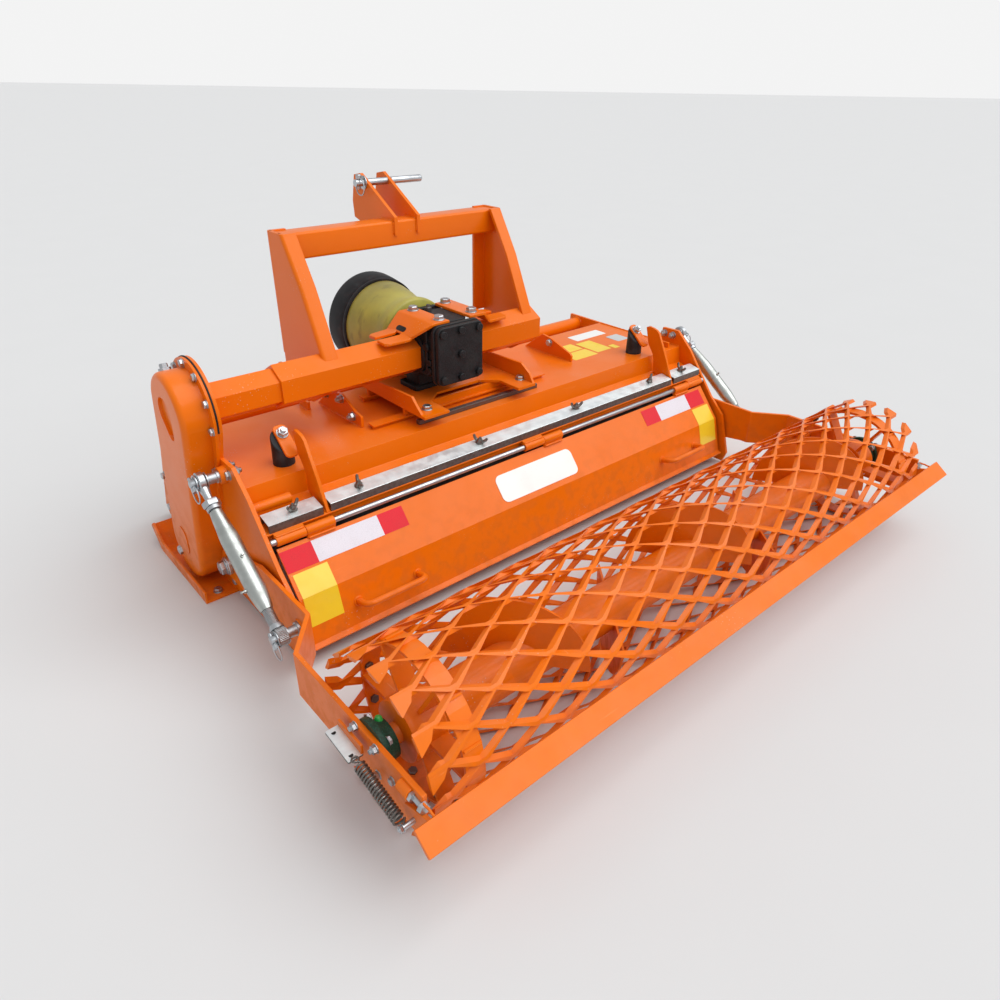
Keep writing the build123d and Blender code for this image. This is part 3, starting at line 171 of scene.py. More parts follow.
class Board:
    """The node tree of one material."""

    def __init__(self, name: str) -> None:
        """Starts an empty tree for a new material of this name."""
        self.material = bpy.data.materials.new(name)
        self.material.use_nodes = True
        self.tree = self.material.node_tree
        self.tree.nodes.clear()
        self.coordinates = self.node("ShaderNodeTexCoord")
        self.place = self.coordinates.outputs["Object"]

    def node(
        self,
        kind: str,
        settings: Optional[Mapping[str, object]] = None,
        sockets: Optional[Mapping[Union[int, str], object]] = None,
    ) -> bpy.types.Node:
        """Adds a node.

        Args:
            kind: Blender's name of the node's type.
            settings: its options.
            sockets: a value, a socket or a Signal for each input, by name or number.

        Returns:
            The new node.
        """
        made = self.tree.nodes.new(kind)
        for name, value in (settings or {}).items():
            setattr(made, name, value)
        for key, value in (sockets or {}).items():
            source = value.socket if isinstance(value, Signal) else value
            if isinstance(source, Socket):
                self.tree.links.new(source, made.inputs[key])
            else:
                made.inputs[key].default_value = source
        return made

    def math(self, operation: str, first: Feed, second: Feed = 0.0) -> Signal:
        """Adds a Math node.

        Args:
            operation: Blender's name of the operation.
            first: first value.
            second: second value, where the operation has one.

        Returns:
            The result.
        """
        node = self.node("ShaderNodeMath", {"operation": operation}, {0: first, 1: second})
        return Signal(self, node.outputs[0])

    def mix(self, share: Feed, first: object, second: object) -> Socket:
        """Mixes two colours.

        Args:
            share: 0 gives the first, 1 the second.
            first: colour or colour socket.
            second: colour or colour socket.

        Returns:
            The mixed colour's socket.
        """
        ends = [(*c, 1.0) if isinstance(c, tuple) else c for c in (first, second)]
        sockets = {0: share, 6: ends[0], 7: ends[1]}
        return self.node("ShaderNodeMix", {"data_type": "RGBA"}, sockets).outputs[2]

    def stretched(self, scale: Place, turn: Place = (0.0, 0.0, 0.0)) -> Socket:
        """The object's coordinates, scaled and turned, so that a pattern gets a direction."""
        sockets = {"Vector": self.place, "Scale": scale, "Rotation": turn}
        return self.node("ShaderNodeMapping", None, sockets).outputs[0]

    def noise(self, scale: float, detail: float, where: Optional[Socket] = None) -> Signal:
        """Cloudy noise.

        Args:
            scale: cells to a metre.
            detail: how many finer layers it has.
            where: coordinates, if not the object's own.

        Returns:
            A value around 0.5.
        """
        sockets = {"Vector": where or self.place, "Scale": scale, "Detail": detail}
        return Signal(self, self.node("ShaderNodeTexNoise", None, sockets).outputs[0])

    def cells(self, scale: float, feature: str = "F1") -> Signal:
        """Cell noise.

        Args:
            scale: cells to a metre.
            feature: F1 for dots, DISTANCE_TO_EDGE for a net of borders.

        Returns:
            The distance from the dots or the net.
        """
        sockets = {"Vector": self.place, "Scale": scale}
        node = self.node("ShaderNodeTexVoronoi", {"feature": feature}, sockets)
        return Signal(self, node.outputs["Distance"])

    def along(self, source: Socket, direction: Place) -> Signal:
        """How far a vector reaches along a direction."""
        sockets = {0: source, 1: direction}
        node = self.node("ShaderNodeVectorMath", {"operation": "DOT_PRODUCT"}, sockets)
        return Signal(self, node.outputs["Value"])

    def height(self) -> Signal:
        """Height above the ground at rest, in metres."""
        return self.along(self.place, (0.0, 0.0, 1.0))

    def faces_up(self) -> Signal:
        """1 where the surface looks straight up at rest, -1 where it looks down."""
        return self.along(self.coordinates.outputs["Normal"], (0.0, 0.0, 1.0))

    def relief(self, height: Signal, depth: float, under: Optional[Socket] = None) -> Socket:
        """A Bump node.

        Args:
            height: value that rises and falls between 0 and 1.
            depth: metres between the two.
            under: a coarser relief's normal that this one goes on.

        Returns:
            The normal's socket.
        """
        sockets = {"Height": height, "Distance": depth, "Strength": 1.0}
        if under is not None:
            sockets["Normal"] = under
        return self.node("ShaderNodeBump", None, sockets).outputs[0]

    def surface(self, base: Socket, roughness: Feed, **more: object) -> bpy.types.Material:
        """Closes the tree with one Principled shader.

        Args:
            base: the colour's socket.
            roughness: value or Signal.
            more: the shader's other inputs, with their spaces as underscores.

        Returns:
            The finished material.
        """
        sockets = {"Base Color": base, "Roughness": roughness}
        sockets.update({name.replace("_", " "): value for name, value in more.items()})
        shader = self.node("ShaderNodeBsdfPrincipled", None, sockets)
        self.node("ShaderNodeOutputMaterial", None, {"Surface": shader.outputs[0]})
        return self.material


class Recipe(Protocol):
    """What every finish can do."""

    def make(self, name: str) -> bpy.types.Material:
        """Builds the material under a name."""


@dataclass(frozen=True)
class Enamel:
    """Glossy paint on steel, with dust on top, soil near the ground, scuffs and rain spots."""

    colour: Rgb
    dust: float = 0.05
    soil: float = 0.16
    soil_top: float = 0.30
    scuffs: float = 0.18
    spots: float = 0.45
    roughness: float = 0.30
    ripple: float = 0.0004
    grain: float = 0.00006
    coat: float = 0.12
    coat_roughness: float = 0.10
    specular: float = 0.17
    dust_colour: Rgb = linear(205, 190, 172)
    soil_colour: Rgb = linear(104, 74, 50)
    scuff_colour: Rgb = linear(255, 176, 118)

    def make(self, name: str) -> bpy.types.Material:
        """Builds the material."""
        board = Board(name)
        broad = board.noise(2.6, 2.0).between(0.30, 0.70)
        cloud = board.noise(17.0, 5.0).between(0.32, 0.72)
        base = board.mix(broad, shade(self.colour, 0.96), shade(self.colour, 1.03))
        base = board.mix(cloud * 0.12, base, shade(self.colour, 0.88))
        lines = board.noise(9.0, 4.0, board.stretched((1.0, 22.0, 9.0), (0.3, 0.5, 0.9)))
        crossing = board.noise(8.0, 4.0, board.stretched((16.0, 1.5, 20.0), (0.9, 0.2, 0.4)))
        worn = lines.between(0.70, 0.76).larger(crossing.between(0.71, 0.77)) * cloud
        base = board.mix(worn * self.scuffs, base, self.scuff_colour)
        low = board.height().between(self.soil_top, 0.02)
        soiled = low * board.noise(34.0, 7.0).between(0.42, 0.66)
        base = board.mix(soiled * self.soil, base, self.soil_colour)
        lying = board.faces_up().between(0.35, 0.95) * board.noise(11.0, 6.0).between(0.30, 0.75)
        base = board.mix(lying * self.dust, base, self.dust_colour)
        drops = board.cells(130.0).between(0.20, 0.10) * board.noise(7.0, 3.0).between(0.55, 0.68)
        base = board.mix(drops * self.spots, base, self.dust_colour)
        gloss = self.roughness + 0.05 * cloud + 0.25 * (lying * self.dust) + 0.2 * soiled
        wave = board.relief(board.noise(6.5, 1.0), self.ripple)
        return board.surface(
            base,
            gloss,
            Normal=board.relief(board.noise(420.0, 2.0) + 1.5 * drops, self.grain, wave),
            Coat_Weight=self.coat,
            Coat_Roughness=self.coat_roughness,
            Specular_IOR_Level=self.specular,
        )


@dataclass(frozen=True)
class PlatedSteel:
    """Bright steel: zinc-plated sheet, turned pins or spring wire, with or without a thread, and, where asked,
    painted shade on the faces that do not look up.
    """

    colour: Rgb
    roughness: float = 0.30
    spangle: float = 0.0
    stain: float = 0.25
    # Colour of the stains, and of the painted shade on the sides.
    stain_and_side_shade_colour: Rgb = linear(92, 84, 76)
    # Share of painted shade on the faces that do not look up.
    painted_side_shade: float = 0.0
    grain: float = 0.00003
    thread: Optional[Place] = None
    thread_pitch: float = 0.003
    thread_depth: float = 0.0009

    def make(self, name: str) -> bpy.types.Material:
        """Builds the material."""
        board = Board(name)
        cloud = board.noise(38.0, 5.0).between(0.35, 0.75)
        streak = board.noise(60.0, 3.0, board.stretched((0.12, 1.0, 1.0)))
        base = board.mix(streak, shade(self.colour, 0.84), shade(self.colour, 1.10))
        base = board.mix(cloud * self.stain, base, self.stain_and_side_shade_colour)
        # Painted shade: faces that do not look up are darkened towards the stain colour.
        if self.painted_side_shade > 0.0:
            sides = board.faces_up().between(0.75, 0.30)
            base = board.mix(sides * self.painted_side_shade, base, self.stain_and_side_shade_colour)
        if self.spangle > 0.0:
            flakes = board.cells(95.0).between(0.15, 0.75)
            base = board.mix(flakes * self.spangle, base, shade(self.colour, 0.68))
        normal = board.relief(board.noise(700.0, 2.0), self.grain)
        if self.thread is not None:
            turns = board.along(board.place, self.thread) * (FULL_TURN / self.thread_pitch)
            normal = board.relief(turns.sine() * 0.5 + 0.5, self.thread_depth, normal)
        metallic = 1.0 - 0.35 * (cloud * self.stain)
        gloss = self.roughness + 0.20 * cloud + 0.08 * streak
        return board.surface(base, gloss, Metallic=metallic, Normal=normal)


@dataclass(frozen=True)
class PaintedCasting:
    """A sand casting under thin paint, with dust on it, painted shade in its low pores and painted light on its
    raised grain.
    """

    colour: Rgb
    roughness: float = 0.42
    specular: float = 0.24
    swell: float = 0.0006
    pore_depth: float = 0.00035
    dust_colour: Rgb = linear(120, 112, 102)

    def make(self, name: str) -> bpy.types.Material:
        """Builds the material."""
        board = Board(name)
        pores = board.noise(310.0, 4.0)
        cloud = board.noise(24.0, 5.0).between(0.40, 0.72)
        lying = board.faces_up().between(0.30, 0.95) * cloud
        # Painted shade and light: the colour follows the pores' relief, darker where it is low, lighter where it
        # is raised.
        deep = pores.between(0.35, 0.70)
        base = board.mix(deep, shade(self.colour, 0.7), shade(self.colour, 1.5))
        base = board.mix(lying * 0.08 + cloud * 0.04, base, self.dust_colour)
        swell = board.relief(board.noise(45.0, 2.0), self.swell)
        return board.surface(
            base,
            self.roughness + 0.22 * cloud,
            Normal=board.relief(pores, self.pore_depth, swell),
            Specular_IOR_Level=self.specular,
        )


@dataclass(frozen=True)
class SoftBlack:
    """Rubber, with a dusty bloom on its raised places."""

    colour: Rgb = linear(30, 31, 34)
    bloom_colour: Rgb = linear(84, 84, 86)
    roughness: float = 0.52
    specular: float = 0.30
    grain: float = 0.00008

    def make(self, name: str) -> bpy.types.Material:
        """Builds the material."""
        board = Board(name)
        bloom = board.noise(28.0, 6.0).between(0.42, 0.74)
        return board.surface(
            board.mix(bloom * 0.45, self.colour, self.bloom_colour),
            self.roughness + 0.20 * bloom,
            Normal=board.relief(board.noise(520.0, 3.0), self.grain),
            Specular_IOR_Level=self.specular,
        )


@dataclass(frozen=True)
class GuardPlastic:
    """Moulded plastic gone dull in the weather, with dark rubbed marks."""

    colour: Rgb
    mark_colour: Rgb = linear(96, 92, 48)
    bleached_colour: Rgb = linear(214, 208, 150)
    roughness: float = 0.40
    ripple: float = 0.0004

    def make(self, name: str) -> bpy.types.Material:
        """Builds the material."""
        board = Board(name)
        cloud = board.noise(12.0, 4.0).between(0.30, 0.72)
        rubbed = board.noise(15.0, 6.0, board.stretched((1.0, 2.4, 1.0))).between(0.56, 0.70)
        base = board.mix(cloud, shade(self.colour, 0.80), shade(self.colour, 1.12))
        base = board.mix(rubbed * 0.42, base, self.mark_colour)
        bleached = board.faces_up().between(0.5, 1.0) * 0.16
        return board.surface(
            board.mix(bleached, base, self.bleached_colour),
            self.roughness + 0.18 * cloud,
            Normal=board.relief(board.noise(60.0, 4.0), self.ripple),
        )


@dataclass(frozen=True)
class PrintedFilm:
    """Self-adhesive film on the paint: a blank label or a blank sign."""

    colour: Rgb
    rub: float = 0.25
    speck_colour: Rgb = linear(122, 104, 84)
    roughness: float = 0.28
    ripple: float = 0.00025
    coat: float = 0.2

    def make(self, name: str) -> bpy.types.Material:
        """Builds the material."""
        board = Board(name)
        cloud = board.noise(20.0, 5.0).between(0.38, 0.76)
        specks = board.cells(210.0).between(0.16, 0.07) * board.noise(26.0, 2.0).between(0.52, 0.66)
        base = board.mix(cloud * self.rub, self.colour, shade(self.colour, 0.80))
        return board.surface(
            board.mix(specks * 0.5, base, self.speck_colour),
            self.roughness + 0.22 * cloud,
            Normal=board.relief(board.noise(36.0, 3.0), self.ripple),
            Coat_Weight=self.coat,
        )


@dataclass(frozen=True)
class MarkerTape:
    """Reflective tape, with a net of fine cells below its film."""

    colour: Rgb
    dirt_colour: Rgb = linear(150, 132, 116)
    cell_rate: float = 260.0
    cell_depth: float = 0.00005
    roughness: float = 0.30
    coat: float = 0.05
    specular: float = 0.16

    def make(self, name: str) -> bpy.types.Material:
        """Builds the material."""
        board = Board(name)
        net = board.cells(self.cell_rate, "DISTANCE_TO_EDGE").between(0.10, 0.03)
        cloud = board.noise(18.0, 4.0).between(0.40, 0.75)
        base = board.mix(net * 0.28, self.colour, shade(self.colour, 0.72))
        return board.surface(
            board.mix(cloud * 0.05, base, self.dirt_colour),
            self.roughness + 0.18 * cloud,
            Normal=board.relief(net, self.cell_depth),
            Coat_Weight=self.coat,
            Specular_IOR_Level=self.specular,
        )


@dataclass(frozen=True)
class StudioFloor:
    """The plain pale floor, faintly mottled."""

    colour: Rgb = (0.66, 0.66, 0.66)
    roughness: float = 0.75
    specular: float = 0.2

    def make(self, name: str) -> bpy.types.Material:
        """Builds the material."""
        board = Board(name)
        cloud = board.noise(3.0, 4.0)
        base = board.mix(cloud, shade(self.colour, 0.985), shade(self.colour, 1.01))
        return board.surface(base, self.roughness, Specular_IOR_Level=self.specular)


class Finish(Enum):
    """Every finish on the machine, by its material's name."""

    ORANGE = "orange_paint"
    ROLLER = "roller_paint"
    BLACK_CAST = "black_cast"
    RUBBER = "black_rubber"
    GUARD = "guard_plastic"
    ZINC = "zinc"
    STRIP = "zinc_sheet"
    SPRING = "spring_steel"
    LINK = "link_steel"
    THREAD = "threaded_steel"
    GREEN_CAST = "green_cast"
    BARE = "bare_steel"
    YELLOW_FILM = "yellow_film"
    WHITE_FILM = "white_film"
    GREY_FILM = "grey_film"
    RED_TAPE = "red_tape"
    WHITE_TAPE = "white_tape"
    GREEN_CAP = "green_cap"
    GASKET = "gasket"


LINK_TOP: Pair = (-198.0, 382.0)
LINK_LOW: Pair = (-518.0, 148.0)
ORANGE = linear(235, 112, 3)
ZINC_SHEET = linear(238, 245, 248)
LINK_DIRECTION = (spot(0.0, *LINK_LOW) - spot(0.0, *LINK_TOP)).normalized()

RECIPES: Mapping[Finish, Recipe] = {
    Finish.ORANGE: Enamel(ORANGE),
    Finish.ROLLER: Enamel(shade(ORANGE, 0.98), dust=0.08, soil=0.22, scuffs=0.45, soil_top=0.36),
    Finish.BLACK_CAST: PaintedCasting(linear(30, 30, 32)),
    Finish.RUBBER: SoftBlack(),
    Finish.GUARD: GuardPlastic(linear(170, 164, 66)),
    Finish.ZINC: PlatedSteel(linear(196, 200, 204), roughness=0.26),
    # The clamp strips carry painted shade on their sides and lower lip.
    Finish.STRIP: PlatedSteel(ZINC_SHEET, roughness=0.40, spangle=0.12, stain=0.05, painted_side_shade=0.9),
    Finish.SPRING: PlatedSteel(linear(132, 128, 124), stain=0.45),
    Finish.LINK: PlatedSteel(linear(186, 190, 186), roughness=0.26, stain=0.16),
    Finish.THREAD: PlatedSteel(linear(176, 178, 180), thread=tuple(LINK_DIRECTION)),
    Finish.GREEN_CAST: PaintedCasting(linear(26, 62, 46), roughness=0.34),
    Finish.BARE: PlatedSteel(linear(120, 118, 116), roughness=0.34, stain=0.55),
    Finish.YELLOW_FILM: PrintedFilm(linear(242, 208, 40)),
    Finish.WHITE_FILM: PrintedFilm(linear(238, 238, 234), rub=0.12),
    Finish.GREY_FILM: PrintedFilm(linear(198, 200, 200), rub=0.2),
    Finish.RED_TAPE: MarkerTape(linear(222, 26, 44)),
    Finish.WHITE_TAPE: MarkerTape(linear(226, 224, 232)),
    Finish.GREEN_CAP: PrintedFilm(linear(36, 168, 72), rub=0.3),
    Finish.GASKET: SoftBlack(linear(22, 22, 22)),
}

SLOTS = {
    Finish.ORANGE: "orange_paint",
    Finish.ROLLER: "orange_paint",
    Finish.BLACK_CAST: "black_cast",
    Finish.RUBBER: "black_rubber",
    Finish.GUARD: "guard_plastic",
    Finish.ZINC: "zinc",
    Finish.STRIP: "zinc",
    Finish.SPRING: "spring_steel",
    Finish.LINK: "link_steel",
    Finish.THREAD: "zinc",
    Finish.GREEN_CAST: "green_cast",
    Finish.BARE: "bare_steel",
}


class PaintShop:
    """Makes each finish once, and hands it out."""

    def __init__(self) -> None:
        """Starts with no finish made."""
        self._made: dict[Finish, bpy.types.Material] = {}

    def material(self, finish: Finish) -> bpy.types.Material:
        """The material of a finish, made at its first use."""
        if finish not in self._made:
            self._made[finish] = RECIPES[finish].make(finish.value)
        return self._made[finish]


SHOP = PaintShop()
FILM_THICK = 0.0006
FILM_GAP = 0.0001


@dataclass(frozen=True)
class Grip:
    """A place on a face, with the two directions along it and the one out of it."""

    origin: Vector
    along: Vector
    over: Vector

    @property
    def out(self) -> Vector:
        """Direction out of the face."""
        return self.along.cross(self.over)

    def at(self, a: float, b: float, c: float = 0.0) -> Vector:
        """A place a along, b over and c out of the face."""
        return self.origin + self.along * a + self.over * b + self.out * c


def square_to(out: Vector, spin: float = 0.0) -> tuple[Vector, Vector]:
    """Two directions square to one another and to `out`, turned about it by `spin` radians."""
    axis = out.normalized()
    helper = UP if abs(axis.z) < 0.9 else AHEAD
    turned = Matrix.Rotation(spin, 3, axis) @ helper.cross(axis).normalized()
    return turned, axis.cross(turned)


def circle(centre: Vector, axes: tuple[Vector, Vector], radius: float, steps: int) -> list[Vector]:
    """Points round a centre, from the first of two axes towards the second."""
    turns = [FULL_TURN * i / steps for i in range(steps)]
    first, second = axes
    return [centre + (first * math.cos(a) + second * math.sin(a)) * radius for a in turns]


def spokes(count: int, start: float) -> list[Vector]:
    """Directions round an axis along x, the first one `start` radians above straight ahead."""
    turns = [start + FULL_TURN * i / count for i in range(count)]
    return [Vector((0.0, math.cos(a), math.sin(a))) for a in turns]


def rounded(width: float, height: float, radius: float, steps: int = 5) -> list[Pair]:
    """Outline of a rectangle about its middle, anticlockwise, with `steps` pieces to a corner."""
    points = []
    for corner, (sx, sy) in enumerate(((1, 1), (-1, 1), (-1, -1), (1, -1))):
        cx, cy = sx * (width / 2.0 - radius), sy * (height / 2.0 - radius)
        for step in range(steps + 1):
            angle = math.pi / 2.0 * (corner + step / steps)
            points.append((cx + radius * math.cos(angle), cy + radius * math.sin(angle)))
    return points


def soften(thing: bpy.types.Object, width: float, limit: float) -> None:
    """Bevels the edges of a thing that are sharper than a limit in degrees."""
    bevel = thing.modifiers.new("soft_edges", "BEVEL")
    bevel.width = width
    bevel.segments = 2
    bevel.limit_method = "ANGLE"
    bevel.angle_limit = math.radians(limit)


class Head(Enum):
    """Shapes of a screw's head, by the number of its sides."""

    HEX = 6
    CHEESE = 20


@dataclass
class Shape:
    """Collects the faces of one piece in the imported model's frame."""

    mesh: bmesh.types.BMesh = field(default_factory=bmesh.new)

    def skin(self, rings: list[list[Vector]], closed: bool = False, capped: bool = True) -> None:
        """Skins rings of equal counts.

        Args:
            rings: the rings in order.
            closed: the last ring meets the first one.
            capped: the two end rings are filled.
        """
        made = [[self.mesh.verts.new(p) for p in ring] for ring in rings]
        count = len(made[0])
        pairs = list(zip(made, made[1:]))
        if closed:
            pairs.append((made[-1], made[0]))
        for low, high in pairs:
            for i in range(count):
                j = (i + 1) % count
                self.mesh.faces.new((low[i], low[j], high[j], high[i]))
        if capped and not closed:
            self.mesh.faces.new(tuple(reversed(made[0])))
            self.mesh.faces.new(tuple(made[-1]))

    def turned(
        self,
        at: Vector,
        out: Vector,
        profile: Outline,
        steps: int = 20,
        spin: float = 0.0,
        capped: bool = True,
    ) -> None:
        """A turned form.

        Args:
            at: where its axis starts.
            out: direction of the axis.
            profile: (distance along the axis, radius) pairs.
            steps: sides of each ring; 6 makes a hexagon.
            spin: turns the rings about the axis.
            capped: the ends are closed.
        """
        axes, axis = square_to(out, spin), out.normalized()
        rings = [circle(at + axis * far, axes, radius, steps) for far, radius in profile]
        self.skin(rings, capped=capped)

    def plate(self, grip: Grip, outline: Outline, thick: float, low: float = 0.0) -> None:
        """A flat plate with an outline on a face, whose underside lies `low` above that face."""
        self.skin([[grip.at(a, b, c) for a, b in outline] for c in (low, low + thick)])

    def strip(self, lines: Sequence[tuple[Vector, Vector]], thick: float) -> None:
        """A bent sheet.

        Args:
            lines: its upper face, as pairs of points across the sheet, in order along it.
            thick: thickness, which lies below that face.
        """
        rings = []
        for i, (first, second) in enumerate(lines):
            before, after = lines[max(i - 1, 0)], lines[min(i + 1, len(lines) - 1)]
            run = (after[0] + after[1] - before[0] - before[1]).normalized()
            down = run.cross(second - first).normalized()
            if down.z > 0.0:
                down = -down
            rings.append([first, second, second + down * thick, first + down * thick])
        self.skin(rings)

    def folded(
        self, path: Sequence[Vector], profile: Outline, across: Vector, miters: Sequence[Vector]
    ) -> None:
        """A folded edge of constant section.

        Args:
            path: points of the fold's line.
            profile: the section, as (distance across, distance out) pairs.
            across: direction of the first distance.
            miters: direction of the second distance at each point, with its length.
        """
        self.skin([[p + across * a + m * b for a, b in profile] for p, m in zip(path, miters)])

    def tube(
        self, path: Sequence[Vector], radius: float, steps: int = 8, closed: bool = False
    ) -> None:
        """A round bar of one radius along a path."""
        self.swept(path, [radius] * len(path), steps, closed)

    def swept(
        self, path: Sequence[Vector], radii: Sequence[float], steps: int, closed: bool = False
    ) -> None:
        """A round bar whose radius changes along its path.

        Args:
            path: points of its middle line.
            radii: radius at each point.
            steps: sides of the bar.
            closed: the path is a ring.
        """
        count = len(path)
        rings = []
        carried: Optional[Vector] = None
        for i in range(count):
            before = path[i - 1] if i > 0 or closed else path[i]
            after = path[(i + 1) % count] if i < count - 1 or closed else path[i]
            heading = (after - before).normalized()
            if carried is None:
                carried = square_to(heading)[0]
            carried = (carried - heading * carried.dot(heading)).normalized()
            rings.append(circle(path[i], (carried, heading.cross(carried)), radii[i], steps))
        self.skin(rings, closed)

    def bead(self, path: Sequence[Vector], radius: float) -> None:
        """A rippled weld bead along the straight runs of a path."""
        ripple, unevenness, trough, end = 0.0045, 0.00035, 0.80, 0.6
        points, radii = [], []
        for start, stop in zip(path, path[1:]):
            count = max(int((stop - start).length / ripple * 2.0), 2)
            for i in range(count):
                wobble = math.sin(37.0 * len(points)) * unevenness
                points.append(start.lerp(stop, i / count) + Vector((wobble, -wobble, wobble)))
                radii.append(radius * (1.0 if len(points) % 2 else trough))
        points.append(path[-1])
        radii.append(radius * end)
        radii[0] = radius * end
        self.swept(points, radii, 7)

    def seam(self, start: Place, end: Place, radius: float) -> None:
        """A weld bead between two places in the source's millimetres."""
        self.bead([spot(*start), spot(*end)], radius)

    def washer(self, at: Vector, out: Vector, radius: float, thick: float) -> None:
        """A round washer with a broken edge."""
        edge = thick * 0.3
        self.turned(at, out, ((0.0, radius), (thick - edge, radius), (thick, radius - edge)))

    def seat(self, at: Vector, out: Vector, size: float) -> Vector:
        """A washer for a thread's diameter; gives the place on top of it."""
        thick = size * 0.16
        self.washer(at, out, size * 1.05, thick)
        return at + out.normalized() * size * 0.16

    def bolt(
        self,
        at: Vector,
        out: Vector,
        size: float,
        head: Head = Head.HEX,
        washer: bool = True,
        spin: float = 0.3,
    ) -> None:
        """A screw's head.

        Args:
            at: where its axis leaves the face.
            out: direction out of the face.
            size: the thread's diameter.
            head: the head's shape.
            washer: there is a washer below the head.
            spin: how far the head is turned.
        """
        base = self.seat(at, out, size) if washer else at
        wide = size * (0.90 if head is Head.HEX else 0.80)
        tall = size * 0.64
        profile = ((0.0, 0.97), (0.16, 1.0), (0.82, 1.0), (1.0, 0.86))
        self.turned(base, out, [(tall * a, wide * r) for a, r in profile], head.value, spin)
        if head is Head.CHEESE:
            dent = base + out.normalized() * (tall - size * 0.02)
            self.turned(dent, out, ((0.0, size * 0.34), (size * 0.05, size * 0.30)), 6, spin)

    def nut(self, at: Vector, out: Vector, size: float, stud: float = 0.6) -> None:
        """A nut on its washer with the end of its stud.

        Args:
            at: where its axis leaves the face.
            out: direction out of the face.
            size: the thread's diameter.
            stud: how far the stud stands out of the nut, in diameters.
        """
        base = self.seat(at, out, size)
        tall, pitch = size * 0.82, size * 0.14
        profile = ((0.0, 0.80), (0.12, 0.92), (0.88, 0.92), (1.0, 0.80))
        self.turned(base, out, [(tall * a, size * r) for a, r in profile], 6, 0.2)
        thread = [(tall * 0.9, size * 0.48)]
        for i in range(max(int(stud * size / pitch), 2)):
            thread.append((tall + pitch * (i + 0.5), size * 0.50))
            thread.append((tall + pitch * (i + 1.0), size * 0.44))
        self.turned(base, out, thread, 16)

    def wing_screw(self, at: Vector, out: Vector, spin: float) -> None:
        """A wing screw: collar, stem and two bent ears, turned by `spin` radians."""
        self.washer(at, out, 0.011, 0.002)
        stem = ((0.002, 0.0092), (0.009, 0.0085), (0.012, 0.0060), (0.016, 0.0040), (0.018, 0.0034))
        self.turned(at, out, stem, 14)
        ear = ((0.005, 0.004), (0.007, 0.010), (0.012, 0.015), (0.018, 0.018), (0.021, 0.018))
        first, axis = square_to(out, spin)[0], out.normalized()
        for way in (-1.0, 1.0):
            path = [at + axis * h + first * way * r for h, r in ear]
            self.swept(path, (0.0052, 0.0048, 0.0042, 0.0040, 0.0026), 10)

    def ring(
        self, centre: Vector, out: Vector, radius: float, wire: float, steps: int = 22
    ) -> None:
        """A closed ring of wire."""
        self.tube(circle(centre, square_to(out), radius, steps), wire, closed=True)

    def linch_pin(self, at: Vector, through: Vector, hang: Vector) -> None:
        """A linch pin: a short pin across a bigger one, and its snap ring.

        Args:
            at: the middle of the big pin where it is crossed.
            through: direction of the short pin, with its head at the far end.
            hang: direction in which the ring lies.
        """
        axis, hanging = through.normalized(), hang.normalized()
        pin = ((0.0, 0.0030), (0.003, 0.0045), (0.032, 0.0045))
        head = ((0.0, 0.0075), (0.009, 0.0080), (0.011, 0.0065))
        self.turned(at - axis * 0.017, axis, pin, 12)
        self.turned(at + axis * 0.0105, axis, head, 14)
        self.ring(at + hanging * 0.018 + axis * 0.007, axis.cross(hanging), 0.021, 0.0017)

    def coil(self, start: Vector, end: Vector, radius: float, wire: float, turns: float) -> None:
        """A coil spring with its two end hooks.

        Args:
            start: first end of the coiled length.
            end: last end of the coiled length.
            radius: to the middle of the wire.
            wire: radius of the wire.
            turns: number of turns.
        """
        axis = end - start
        first, second = square_to(axis)
        count = int(turns * 18)
        path = []
        for i in range(count + 1):
            angle = FULL_TURN * turns * i / count
            spoke = first * math.cos(angle) + second * math.sin(angle)
            path.append(start + axis * (i / count) + spoke * radius)
        for reach in (0.55, 1.0):
            inward, far = first * (radius * (1.0 - reach)), axis.normalized() * radius * reach
            path.insert(0, start - far + inward)
            path.append(end + far + inward)
        self.tube(path, wire)

    def nipple(self, at: Vector, out: Vector) -> None:
        """A grease nipple."""
        foot = ((0.0, 0.0045), (0.004, 0.0045), (0.0045, 0.0028))
        self.turned(at, out, (*foot, (0.008, 0.0026), (0.0095, 0.0034), (0.012, 0.0024)), 12)

    def finished(
        self,
        name: str,
        finish: Finish,
        body: str = "frame",
        smooth: float = 38.0,
        soft: float = 0.0,
    ) -> bpy.types.Object:
        """Turns the collected faces into an object that rides on a body.

        Args:
            name: the piece's name.
            finish: its finish.
            body: the CAD body it rides on.
            smooth: edges below this angle, in degrees, are shaded round.
            soft: width of a bevel on its sharp edges.

        Returns:
            The piece.
        """
        bmesh.ops.recalc_face_normals(self.mesh, faces=self.mesh.faces)
        data = bpy.data.meshes.new(name)
        self.mesh.to_mesh(data)
        self.mesh.free()
        data.shade_smooth()
        data.set_sharp_from_angle(angle=math.radians(smooth))
        piece = bpy.data.objects.new(name, data)
        bpy.context.scene.collection.objects.link(piece)
        data.materials.append(SHOP.material(finish))
        if soft > 0.0:
            soften(piece, soft, 35.0)
        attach(piece, body)
        finish in SLOTS
        log.info("%s: %d faces on %s", name, len(data.polygons), body)
        return piece


